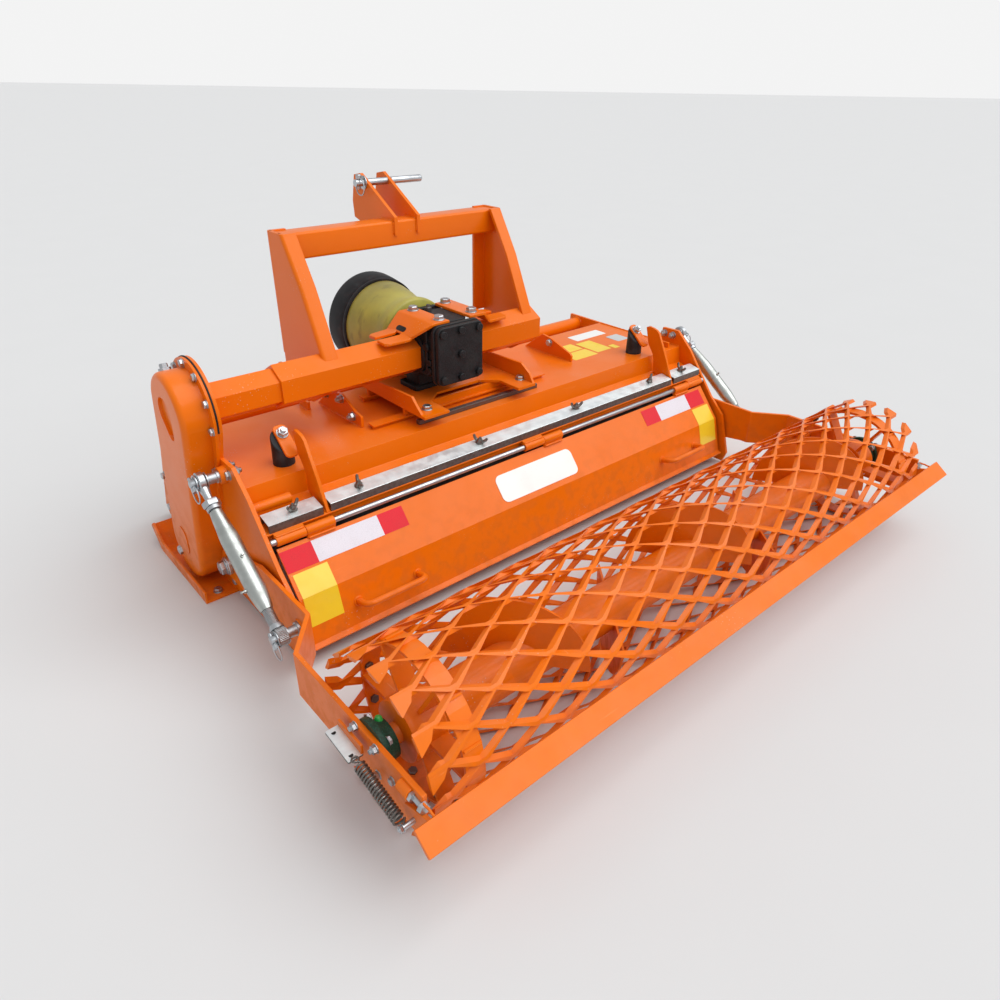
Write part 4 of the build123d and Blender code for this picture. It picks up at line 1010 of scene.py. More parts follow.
@dataclass
class CadDress:
    """Finishes and soft edges of the CAD nodes that stay in view."""

    special: Mapping[str, Finish] = field(
        default_factory=lambda: {
            "roller_mesh": Finish.ROLLER,
            "roller_core": Finish.ROLLER,
            "clamp_strips": Finish.STRIP,
            "link_screw_left": Finish.THREAD,
            "link_screw_right": Finish.THREAD,
        }
    )
    plain: tuple[str, ...] = (
        "roller_mesh", "shaft_guard", "guard_ring", "link_screw_left", "link_screw_right"
    )
    bevel: float = 0.0012
    joined: float = 0.00002

    def finish_of(self, node: str) -> Finish:
        """The finish of a node, from the record's slot unless the table names another."""
        if node in self.special:
            return self.special[node]
        subparts = frame["record"]["subparts"]
        return Finish(next(s["material_slot"] for s in subparts if s["node"] == node))

    def build(self) -> None:
        """Dresses every CAD node, with materials and modifiers alone."""
        for name, node in frame["nodes"].items():
            finish = self.finish_of(name)
            node.data.materials.clear()
            node.data.materials.append(SHOP.material(finish))
            if name not in self.plain:
                weld = node.modifiers.new("joined_points", "WELD")
                weld.merge_threshold = self.joined
                soften(node, self.bevel, 40.0)
            log.info("%s: finish %s", name, finish.value)


@dataclass
class DoorDress:
    """What the rear door carries: sign, tapes, labels and weld seams, with its hinge's ends."""

    top: Pair = (-366.0, 254.0)
    fold: Pair = (-448.0, 159.0)
    low: Pair = (-479.0, 49.0)
    sign_size: Pair = (0.288, 0.078)
    sign_corner: float = 0.018
    sign_middle: Pair = (-0.026, 0.070)
    sign_thick: float = 0.0012
    tape_rows: Pair = (0.010, 0.062)
    tapes: Mapping[Finish, tuple[Pair, ...]] = field(
        default_factory=lambda: {
            Finish.RED_TAPE: ((-0.786, -0.708), (-0.532, -0.460), (0.460, 0.532), (0.688, 0.766)),
            Finish.WHITE_TAPE: ((-0.708, -0.532), (0.532, 0.688)),
        }
    )
    label_starts: Pair = (-0.778, 0.690)
    label_wide: float = 0.086
    label_top: float = 0.068
    label_foot: float = 0.072
    handle_feet: Pair = (482.0, 651.0)
    handle_line: Pair = (-464.3, 102.0)
    barrel_run: Pair = (2.0, 70.0)
    door_barrels: Place = (-711.0, 36.0, 639.0)
    hood_barrels: Place = (-784.0, -37.0, 712.0)
    rod_line: Pair = (-361.0, 270.0)
    rod_starts: Pair = (-797.5, 785.5)
    rod_left: Outline = ((0.0, 0.0055), (0.002, 0.0078), (0.012, 0.0078))
    rod_right: Outline = ((0.0, 0.0078), (0.010, 0.0078), (0.012, 0.0055))

    def panel(self, start: Pair, end: Pair) -> Grip:
        """A panel gripped at its upper edge: first direction to the left, second one down it."""
        upper, lower = spot(0.0, *start), spot(0.0, *end)
        return Grip(upper, LEFT, (lower - upper).normalized())

    def stick(self, shape: Shape, panel: Grip, span: Pair, rows: Pair) -> None:
        """Sticks a rectangle of film on a panel, between two places across and two rows down."""
        (left, right), (high, low) = span, rows
        corners = ((-right, high), (-left, high), (-left, low), (-right, low))
        shape.plate(panel, corners, FILM_THICK, FILM_GAP)

    def build(self) -> None:
        """Makes the door's pieces."""
        panel, lower = self.panel(self.top, self.fold), self.panel(self.fold, self.low)
        sign = Shape()
        across, down = self.sign_middle
        corners = rounded(*self.sign_size, self.sign_corner)
        outline = [(a - across, b + down) for a, b in corners]
        sign.plate(panel, outline, self.sign_thick, 2.0 * FILM_GAP)
        sign.finished("door_sign_blank", Finish.WHITE_FILM, "rear_door", soft=0.0003)
        for finish, spans in self.tapes.items():
            tape = Shape()
            for span in spans:
                self.stick(tape, panel, span, self.tape_rows)
            tape.finished("door_" + finish.value, finish, "rear_door")
        labels = Shape()
        panel_long = (spot(0.0, *self.fold) - spot(0.0, *self.top)).length
        for left in self.label_starts:
            span = (left, left + self.label_wide)
            self.stick(labels, panel, span, (self.label_top, panel_long))
            self.stick(labels, lower, span, (0.0, self.label_foot))
        labels.finished("door_labels_blank", Finish.YELLOW_FILM, "rear_door")
        self.build_welds(lower)
        rod = Shape()
        for x, profile in zip(self.rod_starts, (self.rod_left, self.rod_right)):
            rod.turned(spot(x, *self.rod_line), RIGHT, profile)
        rod.finished("hinge_rod_ends", Finish.ZINC)
        welds = Shape()
        self.barrel_beads(welds, self.hood_barrels, (-363.0, 283.0), 0.0028)
        welds.finished("hood_barrel_welds", Finish.ORANGE)

    def barrel_beads(self, shape: Shape, starts: Place, line: Pair, radius: float) -> None:
        """Weld beads along the hinge barrels, which start at three places across the machine."""
        near, far = self.barrel_run
        for x in starts:
            shape.seam((x + near, *line), (x + far, *line), radius)

    def build_welds(self, lower: Grip) -> None:
        """Weld collars of the handles, and beads of the hinge barrels, on the door."""
        welds = Shape()
        for side in SIDES:
            for x in self.handle_feet:
                foot = side.spot(x, *self.handle_line)
                welds.ring(foot + lower.out * 0.0005, lower.out, 0.0095, 0.0030, 18)
        self.barrel_beads(welds, self.door_barrels, (-372.0, 255.5), 0.0030)
        welds.finished("door_welds", Finish.ORANGE, "rear_door")


@dataclass
class HoodDress:
    """What the hood carries: wing screws, bolts, blank labels, rear lip, a black band of painted shade under the
    door's hinge rod, and weld seams.
    """

    wings: tuple[float, ...] = (-719.0, -546.0, -170.0, 203.0, 548.0, 712.0)
    wing_line: Pair = (-327.0, 313.1)
    strip_up: Place = (0.0, -0.21, 1.0)
    films: tuple[tuple[str, Finish, float, tuple[tuple[float, ...], ...]], ...] = (
        (
            "deck_labels_blank",
            Finish.YELLOW_FILM,
            0.004,
            (
                (466.0, -92.0, 108.0, 62.0),
                (470.0, -22.0, 100.0, 60.0),
                (566.0, -60.0, 70.0, 110.0),
                (622.0, -104.0, 26.0, 34.0),
            ),
        ),
        ("deck_label_white", Finish.WHITE_FILM, 0.004, ((640.0, 42.0, 150.0, 52.0),)),
        ("deck_plate_grey", Finish.GREY_FILM, 0.003, ((706.0, -46.0, 58.0, 62.0),)),
    )
    bolt: float = 0.012
    lug_nuts: tuple[Place, ...] = (
        (-415.0, 41.0, 402.0), (-415.0, -41.0, 412.0), (-415.0, -96.0, 380.0)
    )
    lug_bolt: Place = (388.0, -20.0, 398.0)
    gusset_bolt: Place = (742.0, -210.0, 369.0)
    inner_nuts: Outline = ((226.0, 268.0), (-218.0, 392.0), (-182.0, 392.0))
    side_bolts: Outline = (
        (326.0, 159.0), (337.0, 51.0), (-218.0, 387.0), (-121.0, 40.0), (150.0, 40.0)
    )
    lugs: tuple[Place, ...] = ((-415.0, -130.0, 96.0), (388.0, -118.0, 96.0), (-465.0, 66.0, 116.0))
    stop_arms: Pair = (-648.0, 639.0)
    stop_arm_foot: tuple[Pair, Pair] = ((-346.0, 289.0), (-302.0, 298.6))
    lug_thick: float = 8.0
    arm_thick: float = 9.0
    seam_x: float = 797.0
    inside_x: float = 798.0
    outside_x: float = 808.0
    side_seam: tuple[Pair, Pair] = ((118.0, 356.5), (-250.0, 361.0))
    tube_end: Pair = (242.0, 325.0)
    lip: Place = (-796.0, -343.0, 289.0)
    # Upper left corner of a black band that stands in for the shade in the gap under the hinge rod: painted shade.
    under_rod_shade: Place = (-792.0, -342.0, 263.0)
    deck_rear: Pair = (-252.0, 361.0)
    deck_long: float = 374.0
    deck_fall: float = 5.0

    def deck(self, x: float, y: float) -> Grip:
        """The hood's deck at a place."""
        rear, high = self.deck_rear
        height = high - self.deck_fall * (y - rear) / self.deck_long
        return Grip(spot(x, y, height), RIGHT, AHEAD)

    def build(self) -> None:
        """Makes the hood's pieces."""
        wings = Shape()
        for number, x in enumerate(self.wings):
            place = spot(x, *self.wing_line)
            wings.wing_screw(place, Vector(self.strip_up), 0.5 + 0.8 * number)
        wings.finished("strip_wing_screws", Finish.SPRING)
        for name, finish, corner, places in self.films:
            film = Shape()
            for x, y, wide, deep in places:
                outline = rounded(wide * MM, deep * MM, corner)
                film.plate(self.deck(x, y), outline, FILM_THICK, FILM_GAP)
            film.finished(name, finish)
        self.build_band("hood_rear_lip", Finish.ORANGE, self.lip, 0.026, 0.004, 0.0008)
        # A black band under the hinge rod: painted shade in the gap there.
        self.build_band("hinge_gap_shade_band", Finish.RUBBER, self.under_rod_shade, 0.036, 0.002)
        self.build_bolts()
        self.build_welds()

    def build_band(
        self, name: str, finish: Finish, corner: Place, tall: float, thick: float, soft: float = 0.0
    ) -> None:
        """A band across the hood's rear edge, which hangs down behind the door's hinge rod.

        Args:
            name: the piece's name.
            finish: its finish.
            corner: its upper left corner, from which it runs to the same place at the right.
            tall: its height.
            thick: its thickness.
            soft: width of the bevel on its edges.
        """
        band = Shape()
        long = -2.0 * corner[0] * MM
        outline = ((0.0, 0.0), (long, 0.0), (long, tall), (0.0, tall))
        band.plate(Grip(spot(*corner), RIGHT, DOWN), outline, thick)
        band.finished(name, finish, soft=soft)

    def build_bolts(self) -> None:
        """Bolts on lugs, side plates and stop arms."""
        bolts = Shape()
        for place in self.lug_nuts:
            bolts.nut(spot(*place), LEFT, self.bolt)
        bolts.bolt(spot(*self.lug_bolt), LEFT, self.bolt)
        for side in SIDES:
            for place in self.inner_nuts:
                bolts.nut(side.spot(self.inside_x, *place), -side.out, self.bolt)
            for place in self.side_bolts:
                bolts.bolt(side.spot(self.outside_x, *place), side.out, self.bolt)
        bolts.bolt(spot(*self.gusset_bolt), LEFT, 0.008)
        bolts.finished("hood_bolts", Finish.ZINC)

    def build_welds(self) -> None:
        """Weld seams between the hood, its lugs, the stop arms and the side plates."""
        welds = Shape()
        for x, rear, front in self.lugs:
            for face in (x, x + self.lug_thick):
                path = [self.deck(face, rear).origin, self.deck(face, front).origin]
                welds.bead(path, 0.0030)
        for x in self.stop_arms:
            for face in (x, x + self.arm_thick):
                rear, front = self.stop_arm_foot
                welds.seam((face, *rear), (face, *front), 0.0030)
        for side in SIDES:
            x = side.sign * self.seam_x
            front, rear = self.side_seam
            welds.seam((x, *front), (x, *rear), 0.0032)
            welds.ring(spot(x, *self.tube_end), RIGHT, 0.0255, 0.0032, 30)
        welds.finished("hood_welds", Finish.ORANGE)


@dataclass
class GearboxDress:
    """The gearbox's casting with its screws and breather, and the bolts of its tray."""

    middle: float = -141.0
    rear: float = -215.0
    height: float = 526.0
    shaft_height: float = 518.0
    beam: Pair = (-92.0, 512.0)
    blocks: tuple[tuple[Pair, float, float, float], ...] = (
        ((0.150, 0.158), 0.018, -215.0, -200.0),
        ((0.158, 0.164), 0.022, -200.0, -188.0),
        ((0.140, 0.150), 0.030, -188.0, -20.0),
        ((0.158, 0.164), 0.030, -34.0, -20.0),
    )
    foot: Place = (-141.0, -62.0, 400.2)
    foot_plates: tuple[tuple[float, float, float, float], ...] = (
        (0.150, 0.084, 0.010, 0.014), (0.116, 0.070, 0.012, 0.060)
    )
    sleeve: Outline = ((0.0, 0.062), (0.156, 0.062))
    nose: Outline = ((0.0, 0.046), (0.012, 0.046), (0.016, 0.036), (0.040, 0.036))
    flank: float = 69.5
    ribs: tuple[tuple[Pair, Pair], ...] = (
        ((-160.0, 530.0), (0.010, 0.120)), ((-138.0, 470.0), (0.060, 0.009))
    )
    boss: Outline = ((0.0, 0.013), (0.009, 0.012), (0.010, 0.008))
    breather: Outline = ((0.0, 0.009), (0.010, 0.009), (0.012, 0.006), (0.018, 0.005))
    cover_screws: Outline = (
        (-60.0, 588.0), (0.0, 590.0), (60.0, 588.0), (0.0, 526.0),
        (-60.0, 464.0), (0.0, 462.0), (60.0, 464.0),
    )
    flank_screws: Pair = (480.0, 503.0)
    tray_bolts: Outline = ((-262.0, -219.0), (80.0, -211.0))

    def build(self) -> None:
        """Makes the gearbox's pieces."""
        self.build_casting()
        screws = Shape()
        for x, z in self.cover_screws:
            place = spot(self.middle + x, self.rear, z)
            screws.bolt(place, BACK, 0.013, Head.CHEESE, False, 0.1 * x)
        for side in SIDES:
            for z in self.flank_screws:
                place = spot(self.middle + side.sign * self.flank, -172.0, z)
                screws.bolt(place, side.out, 0.011, Head.HEX, False)
        screws.finished("gearbox_screws", Finish.BLACK_CAST, soft=0.0004)
        bright = Shape()
        for x, y in self.tray_bolts:
            bright.bolt(spot(x, y, 400.0), UP, 0.014, spin=0.07 * x)
        bright.finished("tray_bolts", Finish.ZINC)
        vent = Shape()
        vent.turned(spot(self.middle + 8.0, -60.0, 605.0), UP, self.breather, 16)
        vent.finished("gearbox_breather", Finish.BARE)

    def build_casting(self) -> None:
        """The casting: cover, rim, body and foot, the beam's sleeve, the shaft's nose and ribs."""
        cast = Shape()
        for size, corner, rear, front in self.blocks:
            grip = Grip(spot(self.middle, front, self.height), RIGHT, UP)
            cast.plate(grip, rounded(*size, corner, 6), (front - rear) * MM)
        foot = Grip(spot(*self.foot), RIGHT, AHEAD)
        for wide, deep, corner, tall in self.foot_plates:
            cast.plate(foot, rounded(wide, deep, corner), tall)
        cast.turned(spot(self.middle - 78.0, *self.beam), RIGHT, self.sleeve, 40)
        cast.turned(spot(self.middle, -20.0, self.shaft_height), AHEAD, self.nose, 32)
        for side in SIDES:
            x = self.middle + side.sign * self.flank
            for place, size in self.ribs:
                face = Grip(spot(x, *place), AHEAD * side.sign, UP)
                cast.plate(face, rounded(*size, 0.004), 0.007)
            cast.turned(spot(x, -160.0, 545.0), side.out, self.boss)
        lid = Grip(spot(self.middle, -115.0, 600.5), RIGHT, AHEAD)
        cast.plate(lid, rounded(0.110, 0.120, 0.014), 0.0055)
        housing = cast.finished("gearbox_housing", Finish.BLACK_CAST, soft=0.0024)
        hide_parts("gearbox")


@dataclass
class RailDress:
    """The two flat rails across the deck, on which the gearbox's tray lies."""

    rails: tuple[tuple[float, float, float, float], ...] = (
        (-400.0, 222.0, -171.0, -142.0), (-318.0, 112.0, 10.0, 38.0)
    )
    web: Pair = (-296.0, 92.0)
    foot: float = 357.0
    crown: float = 372.0
    under_tray: float = 391.5

    def build(self) -> None:
        """Makes the rails."""
        shape = Shape()
        for left, right, rear, front in self.rails:
            top = spot((left + right) / 2.0, (rear + front) / 2.0, self.crown)
            outline = rounded((right - left) * MM, (front - rear) * MM, 0.0006, 2)
            shape.plate(Grip(top, RIGHT, AHEAD), outline, -0.004)
            for low, high, near, far in (
                (self.crown, self.under_tray, *self.web),
                (self.foot, self.crown - 4.0, left + 4.0, right - 4.0),
            ):
                middle = spot((near + far) / 2.0, rear + 9.0, (low + high) / 2.0)
                outline = rounded((far - near) * MM, (high - low) * MM, 0.0004, 1)
                shape.plate(Grip(middle, LEFT, UP), outline, 0.008)
        piece = shape.finished("tray_rails", Finish.ORANGE, soft=0.0006)
        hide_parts("slide_rails")


@dataclass
class GuardDress:
    """The shaft's bell guard and the soft ring at its mouth."""

    axis: Place = (-141.0, 0.0, 518.0)
    bell: Outline = (
        (-0.012, 0.0700), (-0.012, 0.1060), (-0.008, 0.1110), (0.004, 0.1125), (0.016, 0.1110),
        (0.036, 0.1050), (0.056, 0.1055), (0.080, 0.1110), (0.115, 0.1195), (0.150, 0.1250),
        (0.176, 0.1265), (0.182, 0.1260), (0.182, 0.1225), (0.150, 0.1205), (0.075, 0.1045),
        (-0.006, 0.1000), (-0.008, 0.0720),
    )
    wall: Outline = ((-0.0125, 0.0300), (-0.0125, 0.0710), (-0.0075, 0.0730), (-0.0075, 0.0300))
    mouth: Outline = (
        (0.165, 0.1260), (0.165, 0.1315), (0.168, 0.1330), (0.174, 0.1330), (0.177, 0.1305),
        (0.182, 0.1345), (0.210, 0.1380), (0.236, 0.1400), (0.241, 0.1395), (0.243, 0.1370),
        (0.240, 0.1345), (0.185, 0.1290), (0.180, 0.1262),
    )

    def build(self) -> None:
        """Makes the bell and the ring."""
        at = spot(*self.axis)
        bell = Shape()
        bell.turned(at, AHEAD, self.bell, 72, capped=False)
        bell.turned(at, AHEAD, self.wall, 48, capped=False)
        piece = bell.finished("guard_bell", Finish.GUARD, smooth=50.0)
        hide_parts("shaft_guard")
        ring = Shape()
        ring.turned(at, AHEAD, self.mouth, 72, capped=False)
        piece = ring.finished("guard_mouth_ring", Finish.RUBBER, smooth=50.0)
        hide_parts("guard_ring")


@dataclass
class StopDress:
    """The two stop arms on the deck with their sloping tabs and rubber buffers."""

    starts: Pair = (-648.0, 639.0)
    thick: float = 9.0
    tab_off: float = -9.0
    tab_wide: float = 0.034
    tab_thick: float = 0.007
    tab_front: Pair = (-168.0, 449.0)
    tab_rear: Pair = (-236.0, 394.0)
    buffer_y: float = -190.0
    buffer_crown: float = 0.0245
    buffer_foot: float = 0.0262
    buffer_sides: int = 32
    nut_y: float = -186.0
    blade: Outline = (
        (-350.0, 287.8), (-317.0, 362.0), (-275.0, 443.0), (-264.0, 451.0), (-249.0, 455.0),
        (-231.0, 457.0), (-221.0, 452.0), (-236.0, 399.0), (-258.0, 370.0), (-264.0, 352.0),
        (-268.0, 308.0), (-300.0, 298.4),
    )

    def tab_height(self, y: float) -> float:
        """Height of the tab's upper face at a distance along the machine."""
        (front, high), (rear, low) = self.tab_front, self.tab_rear
        return low + (high - low) * (y - rear) / (front - rear)

    def build(self) -> None:
        """Makes the arms, their buffers and the nuts on them."""
        arms, rubber, bright = Shape(), Shape(), Shape()
        (front, high), (rear, low) = self.tab_front, self.tab_rear
        tab = spot(0.0, front, high) - spot(0.0, rear, low)
        slope = tab.normalized()
        for start in self.starts:
            near = [spot(start, y, z) for y, z in self.blade]
            arms.skin([near, [p + RIGHT * self.thick * MM for p in near]])
            x = start + self.tab_off
            grip = Grip(spot(x, (front + rear) / 2.0, (high + low) / 2.0), RIGHT, slope)
            arms.plate(grip, rounded(self.tab_wide, tab.length, 0.012, 6), -self.tab_thick)
            rubber.skin(self.buffer_rings(x - 7.0))
            place = spot(x, self.nut_y, self.tab_height(self.nut_y))
            bright.nut(place, RIGHT.cross(slope), 0.014, 0.5)
        piece = arms.finished("stop_arm_blades", Finish.ORANGE, soft=0.0012)
        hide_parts("stop_arms")
        piece = rubber.finished("stop_buffers", Finish.RUBBER, soft=0.0020)
        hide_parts("rubber_buffers")
        bright.finished("stop_buffer_nuts", Finish.ZINC)

    def buffer_rings(self, x: float) -> list[list[Vector]]:
        """The foot and the crown of a buffer, whose crown is cut along the tab's slope."""
        lows, highs = [], []
        for step in range(self.buffer_sides):
            angle = FULL_TURN * step / self.buffer_sides
            across, along = math.cos(angle), math.sin(angle)
            foot, crown = self.buffer_foot / MM, self.buffer_crown / MM
            lows.append(spot(x + foot * across, self.buffer_y + foot * along, 359.0))
            y = self.buffer_y + crown * along
            highs.append(spot(x + crown * across, y, self.tab_height(y) - 11.0))
        return [lows, highs]


@dataclass
class BracketDress:
    """The two bent brackets on the gearbox, each with bolts, a dark sheet of painted shade where its slot is, and
    two tongues on the beam.
    """

    top: float = 614.0
    thick: float = 0.008
    bolts: Outline = ((-180.0, -55.0), (-177.0, -168.0), (-65.0, -48.0), (-64.0, -163.0))
    left: tuple[Place, ...] = (
        (-158.0, 614.0, 0.0), (-210.0, 614.0, 0.0), (-216.0, 611.0, 0.0), (-256.0, 576.0, 1.0)
    )
    right: tuple[Place, ...] = (
        (-90.0, 614.0, 0.0), (-34.0, 614.0, 0.0), (-28.0, 611.0, 0.3), (14.0, 576.0, 1.0)
    )
    tongues: tuple[Place, ...] = ((-104.0, -150.0, 74.0), (-80.0, -38.0, 66.0))

    def build(self) -> None:
        """Makes the brackets and their bolts."""
        plates, painted_slot_shade = Shape(), Shape()
        for stations, way in ((self.left, -1.0), (self.right, 1.0)):
            lines = []
            for x, z, share in stations:
                edges = (-32.0 - 6.0 * share, -190.0 + 40.0 * share)
                lines.append(tuple(spot(x, y, z) for y in edges))
            plates.strip(lines, self.thick)
            for tongue in self.tongues:
                plates.strip(self.tongue_lines(stations[-1], way, tongue), self.thick)
            start, end = stations[-2], stations[-1]
            middle = spot((start[0] + 3.0 * end[0]) / 4.0, -92.0, (start[1] + 3.0 * end[1]) / 4.0)
            slope = (spot(end[0], 0.0, end[1]) - spot(start[0], 0.0, start[1])).normalized()
            face = Grip(middle, slope, AHEAD * way)
            # A thin dark sheet on the slope where the slot is: painted shade in place of the opening.
            painted_slot_shade.plate(face, rounded(0.015, 0.040, 0.0072, 6), 0.0006, 0.0002)
        piece = plates.finished("gearbox_bracket_plates", Finish.ORANGE, soft=0.0016)
        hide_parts("gearbox_brackets")
        painted_slot_shade.finished("bracket_slot_shades", Finish.GASKET)
        bolts = Shape()
        for x, y in self.bolts:
            bolts.bolt(spot(x, y, self.top), UP, 0.015, spin=0.1 * y)
        bolts.finished("bracket_bolts", Finish.ZINC)

    def tongue_lines(self, foot: Place, way: float, tongue: Place) -> list[tuple[Vector, Vector]]:
        """Lines across a tongue, from inside the slope to its end.

        Args:
            foot: the slope's last station.
            way: 1 towards the right, -1 towards the left.
            tongue: y of its inner and its outer edge, and its reach.

        Returns:
            Pairs of points across the tongue.
        """
        inner, outer, reach = tongue
        sign = 1.0 if outer > inner else -1.0
        lines = []
        for far, low, narrow in (
            (-7.0, -6.0, 0.0), (4.0, 1.5, 0.0), (reach - 10.0, 3.0, 5.0), (reach, 3.0, 14.0)
        ):
            x, z = foot[0] + way * far, foot[1] - low
            lines.append((spot(x, inner, z), spot(x, outer - sign * narrow, z - 2.0)))
        return lines


@dataclass
class HitchDress:
    """The hitch frame with its folded edges, its pins' clips and its weld seams."""

    middle: float = -141.0
    half: float = 353.0
    plate: float = 10.0
    inset: float = 0.2
    fold: float = 9.0
    fold_foot: float = -0.016
    tube_rear: float = 48.0
    tube_front: float = 113.0
    tube_low: float = 763.0
    tube_high: float = 828.0
    rear_width: float = 41.0
    front_width: float = 49.0
    front_line: Outline = ((112.0, 831.0), (112.0, 520.0))
    rear_line: Outline = ((34.5, 831.0), (-40.0, 714.0), (-117.5, 553.0))
    outline: Outline = (
        (46.0, 831.0), (102.0, 831.0), (102.0, 484.0), (152.0, 479.0), (158.0, 425.0),
        (60.0, 412.0), (-30.0, 420.0), (-92.0, 456.0), (-43.0, 484.0), (-43.0, 540.0),
        (-92.0, 568.0), (-106.0, 553.0), (-28.0, 714.0),
    )
    top_pin: Pair = (184.0, 910.0)
    lower_pin: Pair = (125.0, 460.0)
    pin_tip: Outline = ((0.0, 0.0096), (0.004, 0.0085), (0.007, 0.0060))
    ear_faces: tuple[float, ...] = (-160.0, -150.0, -86.0, -76.0)

    def section(self, width: float) -> list[Pair]:
        """Section of a folded edge: a quarter round outside, then the flange.

        Args:
            width: of the flange over the plate's outer face.

        Returns:
            The section's points in metres, (inward, out).
        """
        points = [(0.0, self.fold_foot)]
        for step in range(7):
            angle = math.pi / 2.0 * step / 6.0
            out = self.fold * (math.sin(angle) - 1.0)
            points.append(((self.fold * (1.0 - math.cos(angle))) * MM, out * MM))
        thick = self.plate * MM
        points += [(width * MM, 0.0), (width * MM, -thick), (thick, -thick)]
        return points + [(thick, self.fold_foot)]

    def rear_miters(self) -> list[Vector]:
        """Directions out of the sloping rear edge at its three points, lengthened at the cuts."""
        places = [Vector((0.0, y, z)) for y, z in self.rear_line]
        normals = []
        for start, end in zip(places, places[1:]):
            run = (end - start).normalized()
            normals.append(Vector((0.0, run.z, -run.y)))
        bend = (normals[0] + normals[1]) / (1.0 + normals[0].dot(normals[1]))
        return [BACK / -normals[0].y, bend, BACK / -normals[1].y]

    def build(self) -> None:
        """Makes the hitch's pieces."""
        shape = Shape()
        for side in SIDES:
            outer = self.middle + side.sign * self.half
            inward = -side.out
            corners = [spot(outer - self.inset * side.sign, y, z) for y, z in self.outline]
            shape.skin([corners, [c + inward * (self.plate - 0.5) * MM for c in corners]])
            for line, width, miters in (
                (self.rear_line, self.rear_width, self.rear_miters()),
                (self.front_line, self.front_width, [AHEAD, AHEAD]),
            ):
                path = [spot(outer, *place) for place in line]
                shape.folded(path, self.section(width), inward, miters)
        tube = spot(self.middle - self.half + self.plate, 80.5, 795.5)
        length = 2.0 * (self.half - self.plate) * MM
        shape.plate(Grip(tube, AHEAD, UP), rounded(0.065, 0.065, 0.007, 4), length)
        piece = shape.finished("hitch_frame_folded", Finish.ORANGE, soft=0.0012)
        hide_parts("hitch_frame")
        self.build_pins()
        self.build_welds()

    def build_pins(self) -> None:
        """Clips, washers and the rounded ends of the hitch pins."""
        pins = Shape()
        pins.linch_pin(spot(-176.0, *self.top_pin), UP, Vector((0.0, -0.35, -1.0)))
        pins.washer(spot(-163.0, *self.top_pin), RIGHT, 0.018, 0.003)
        pins.turned(spot(25.0, *self.top_pin), RIGHT, self.pin_tip)
        for side in SIDES:
            tip = spot(self.middle + side.sign * (self.half + 70.0), *self.lower_pin)
            pins.linch_pin(tip, AHEAD, Vector((0.0, 0.5, -1.0)))
        pins.finished("hitch_linch_pins", Finish.ZINC)

    def build_welds(self) -> None:
        """Weld seams round the cross tube's ends and along the ears."""
        welds = Shape()
        rear, front, low, high = self.tube_rear, self.tube_front, self.tube_low, self.tube_high
        loop = ((rear, low), (rear, high), (front, high), (front, low), (rear, low))
        for side in SIDES:
            inner = self.middle + side.sign * (self.half - self.plate)
            welds.bead([spot(inner, *place) for place in loop], 0.0040)
        for x in self.ear_faces:
            welds.seam((x, 52.0, high), (x, 112.0, high), 0.0032)
            welds.seam((x, 113.5, 826.0), (x, 113.5, 782.0), 0.0032)
            welds.seam((x, 47.5, 826.0), (x, 47.5, 796.0), 0.0032)
        welds.finished("hitch_welds", Finish.ORANGE)


@dataclass
class ChainCaseDress:
    """Flange screws, gasket, plugs and the embossed oval of the chain case."""

    face: float = -877.0
    flange: float = -816.0
    gasket: float = -807.6
    top: Pair = (-92.0, 512.0)
    low: Pair = (8.0, 112.0)
    radius: float = 92.0
    rim: float = 22.4
    screw_ring: float = 11.0
    straight_screws: Outline = ((-152.0, 374.0), (-118.0, 250.0), (58.0, 380.0), (88.0, 250.0))
    filler: Outline = (
        (0.0, 0.014), (0.006, 0.014), (0.0065, 0.0095), (0.014, 0.0095), (0.016, 0.0075)
    )
    drain: Outline = ((0.0, 0.013), (0.007, 0.012), (0.009, 0.009))

    def rim_places(self, out: float, steps: int) -> list[Pair]:
        """Places on the half circle over the top of the case.

        Args:
            out: how far outside the case they lie.
            steps: how many spaces there are between them.

        Returns:
            (y, z) pairs from the front over the top to the rear.
        """
        axis = math.atan2(self.top[1] - self.low[1], self.top[0] - self.low[0])
        reach = self.radius + out
        angles = [axis - math.pi / 2.0 + math.pi * i / steps for i in range(steps + 1)]
        y, z = self.top
        return [(y + reach * math.cos(a), z + reach * math.sin(a)) for a in angles]

    def build(self) -> None:
        """Makes the chain case's pieces."""
        screws = Shape()
        for y, z in self.rim_places(self.screw_ring, 5):
            screws.bolt(spot(self.flange, y, z), LEFT, 0.010, spin=0.01 * y)
        for y, z in self.straight_screws:
            screws.bolt(spot(self.flange, y, z), LEFT, 0.010, spin=0.01 * z)
        screws.finished("case_screws", Finish.ZINC)
        gasket = Shape()
        gasket.tube([spot(self.gasket, y, z) for y, z in self.rim_places(self.rim, 28)], 0.0022, 6)
        gasket.finished("case_gasket", Finish.GASKET)
        plugs = Shape()
        plugs.turned(spot(-846.0, -50.0, 594.0), Vector((0.0, 0.40, 1.0)), self.filler, 6)
        plugs.turned(spot(-876.0, 60.0, 70.0), LEFT, self.drain, 6)
        plugs.finished("case_plugs", Finish.ZINC)
        oval = Shape()
        face = Grip(spot(self.face, 6.0, 128.0), BACK, UP)
        oval.plate(face, rounded(0.052, 0.078, 0.0255, 10), 0.0022)
        oval.finished("case_oval_boss", Finish.ORANGE, soft=0.0008)


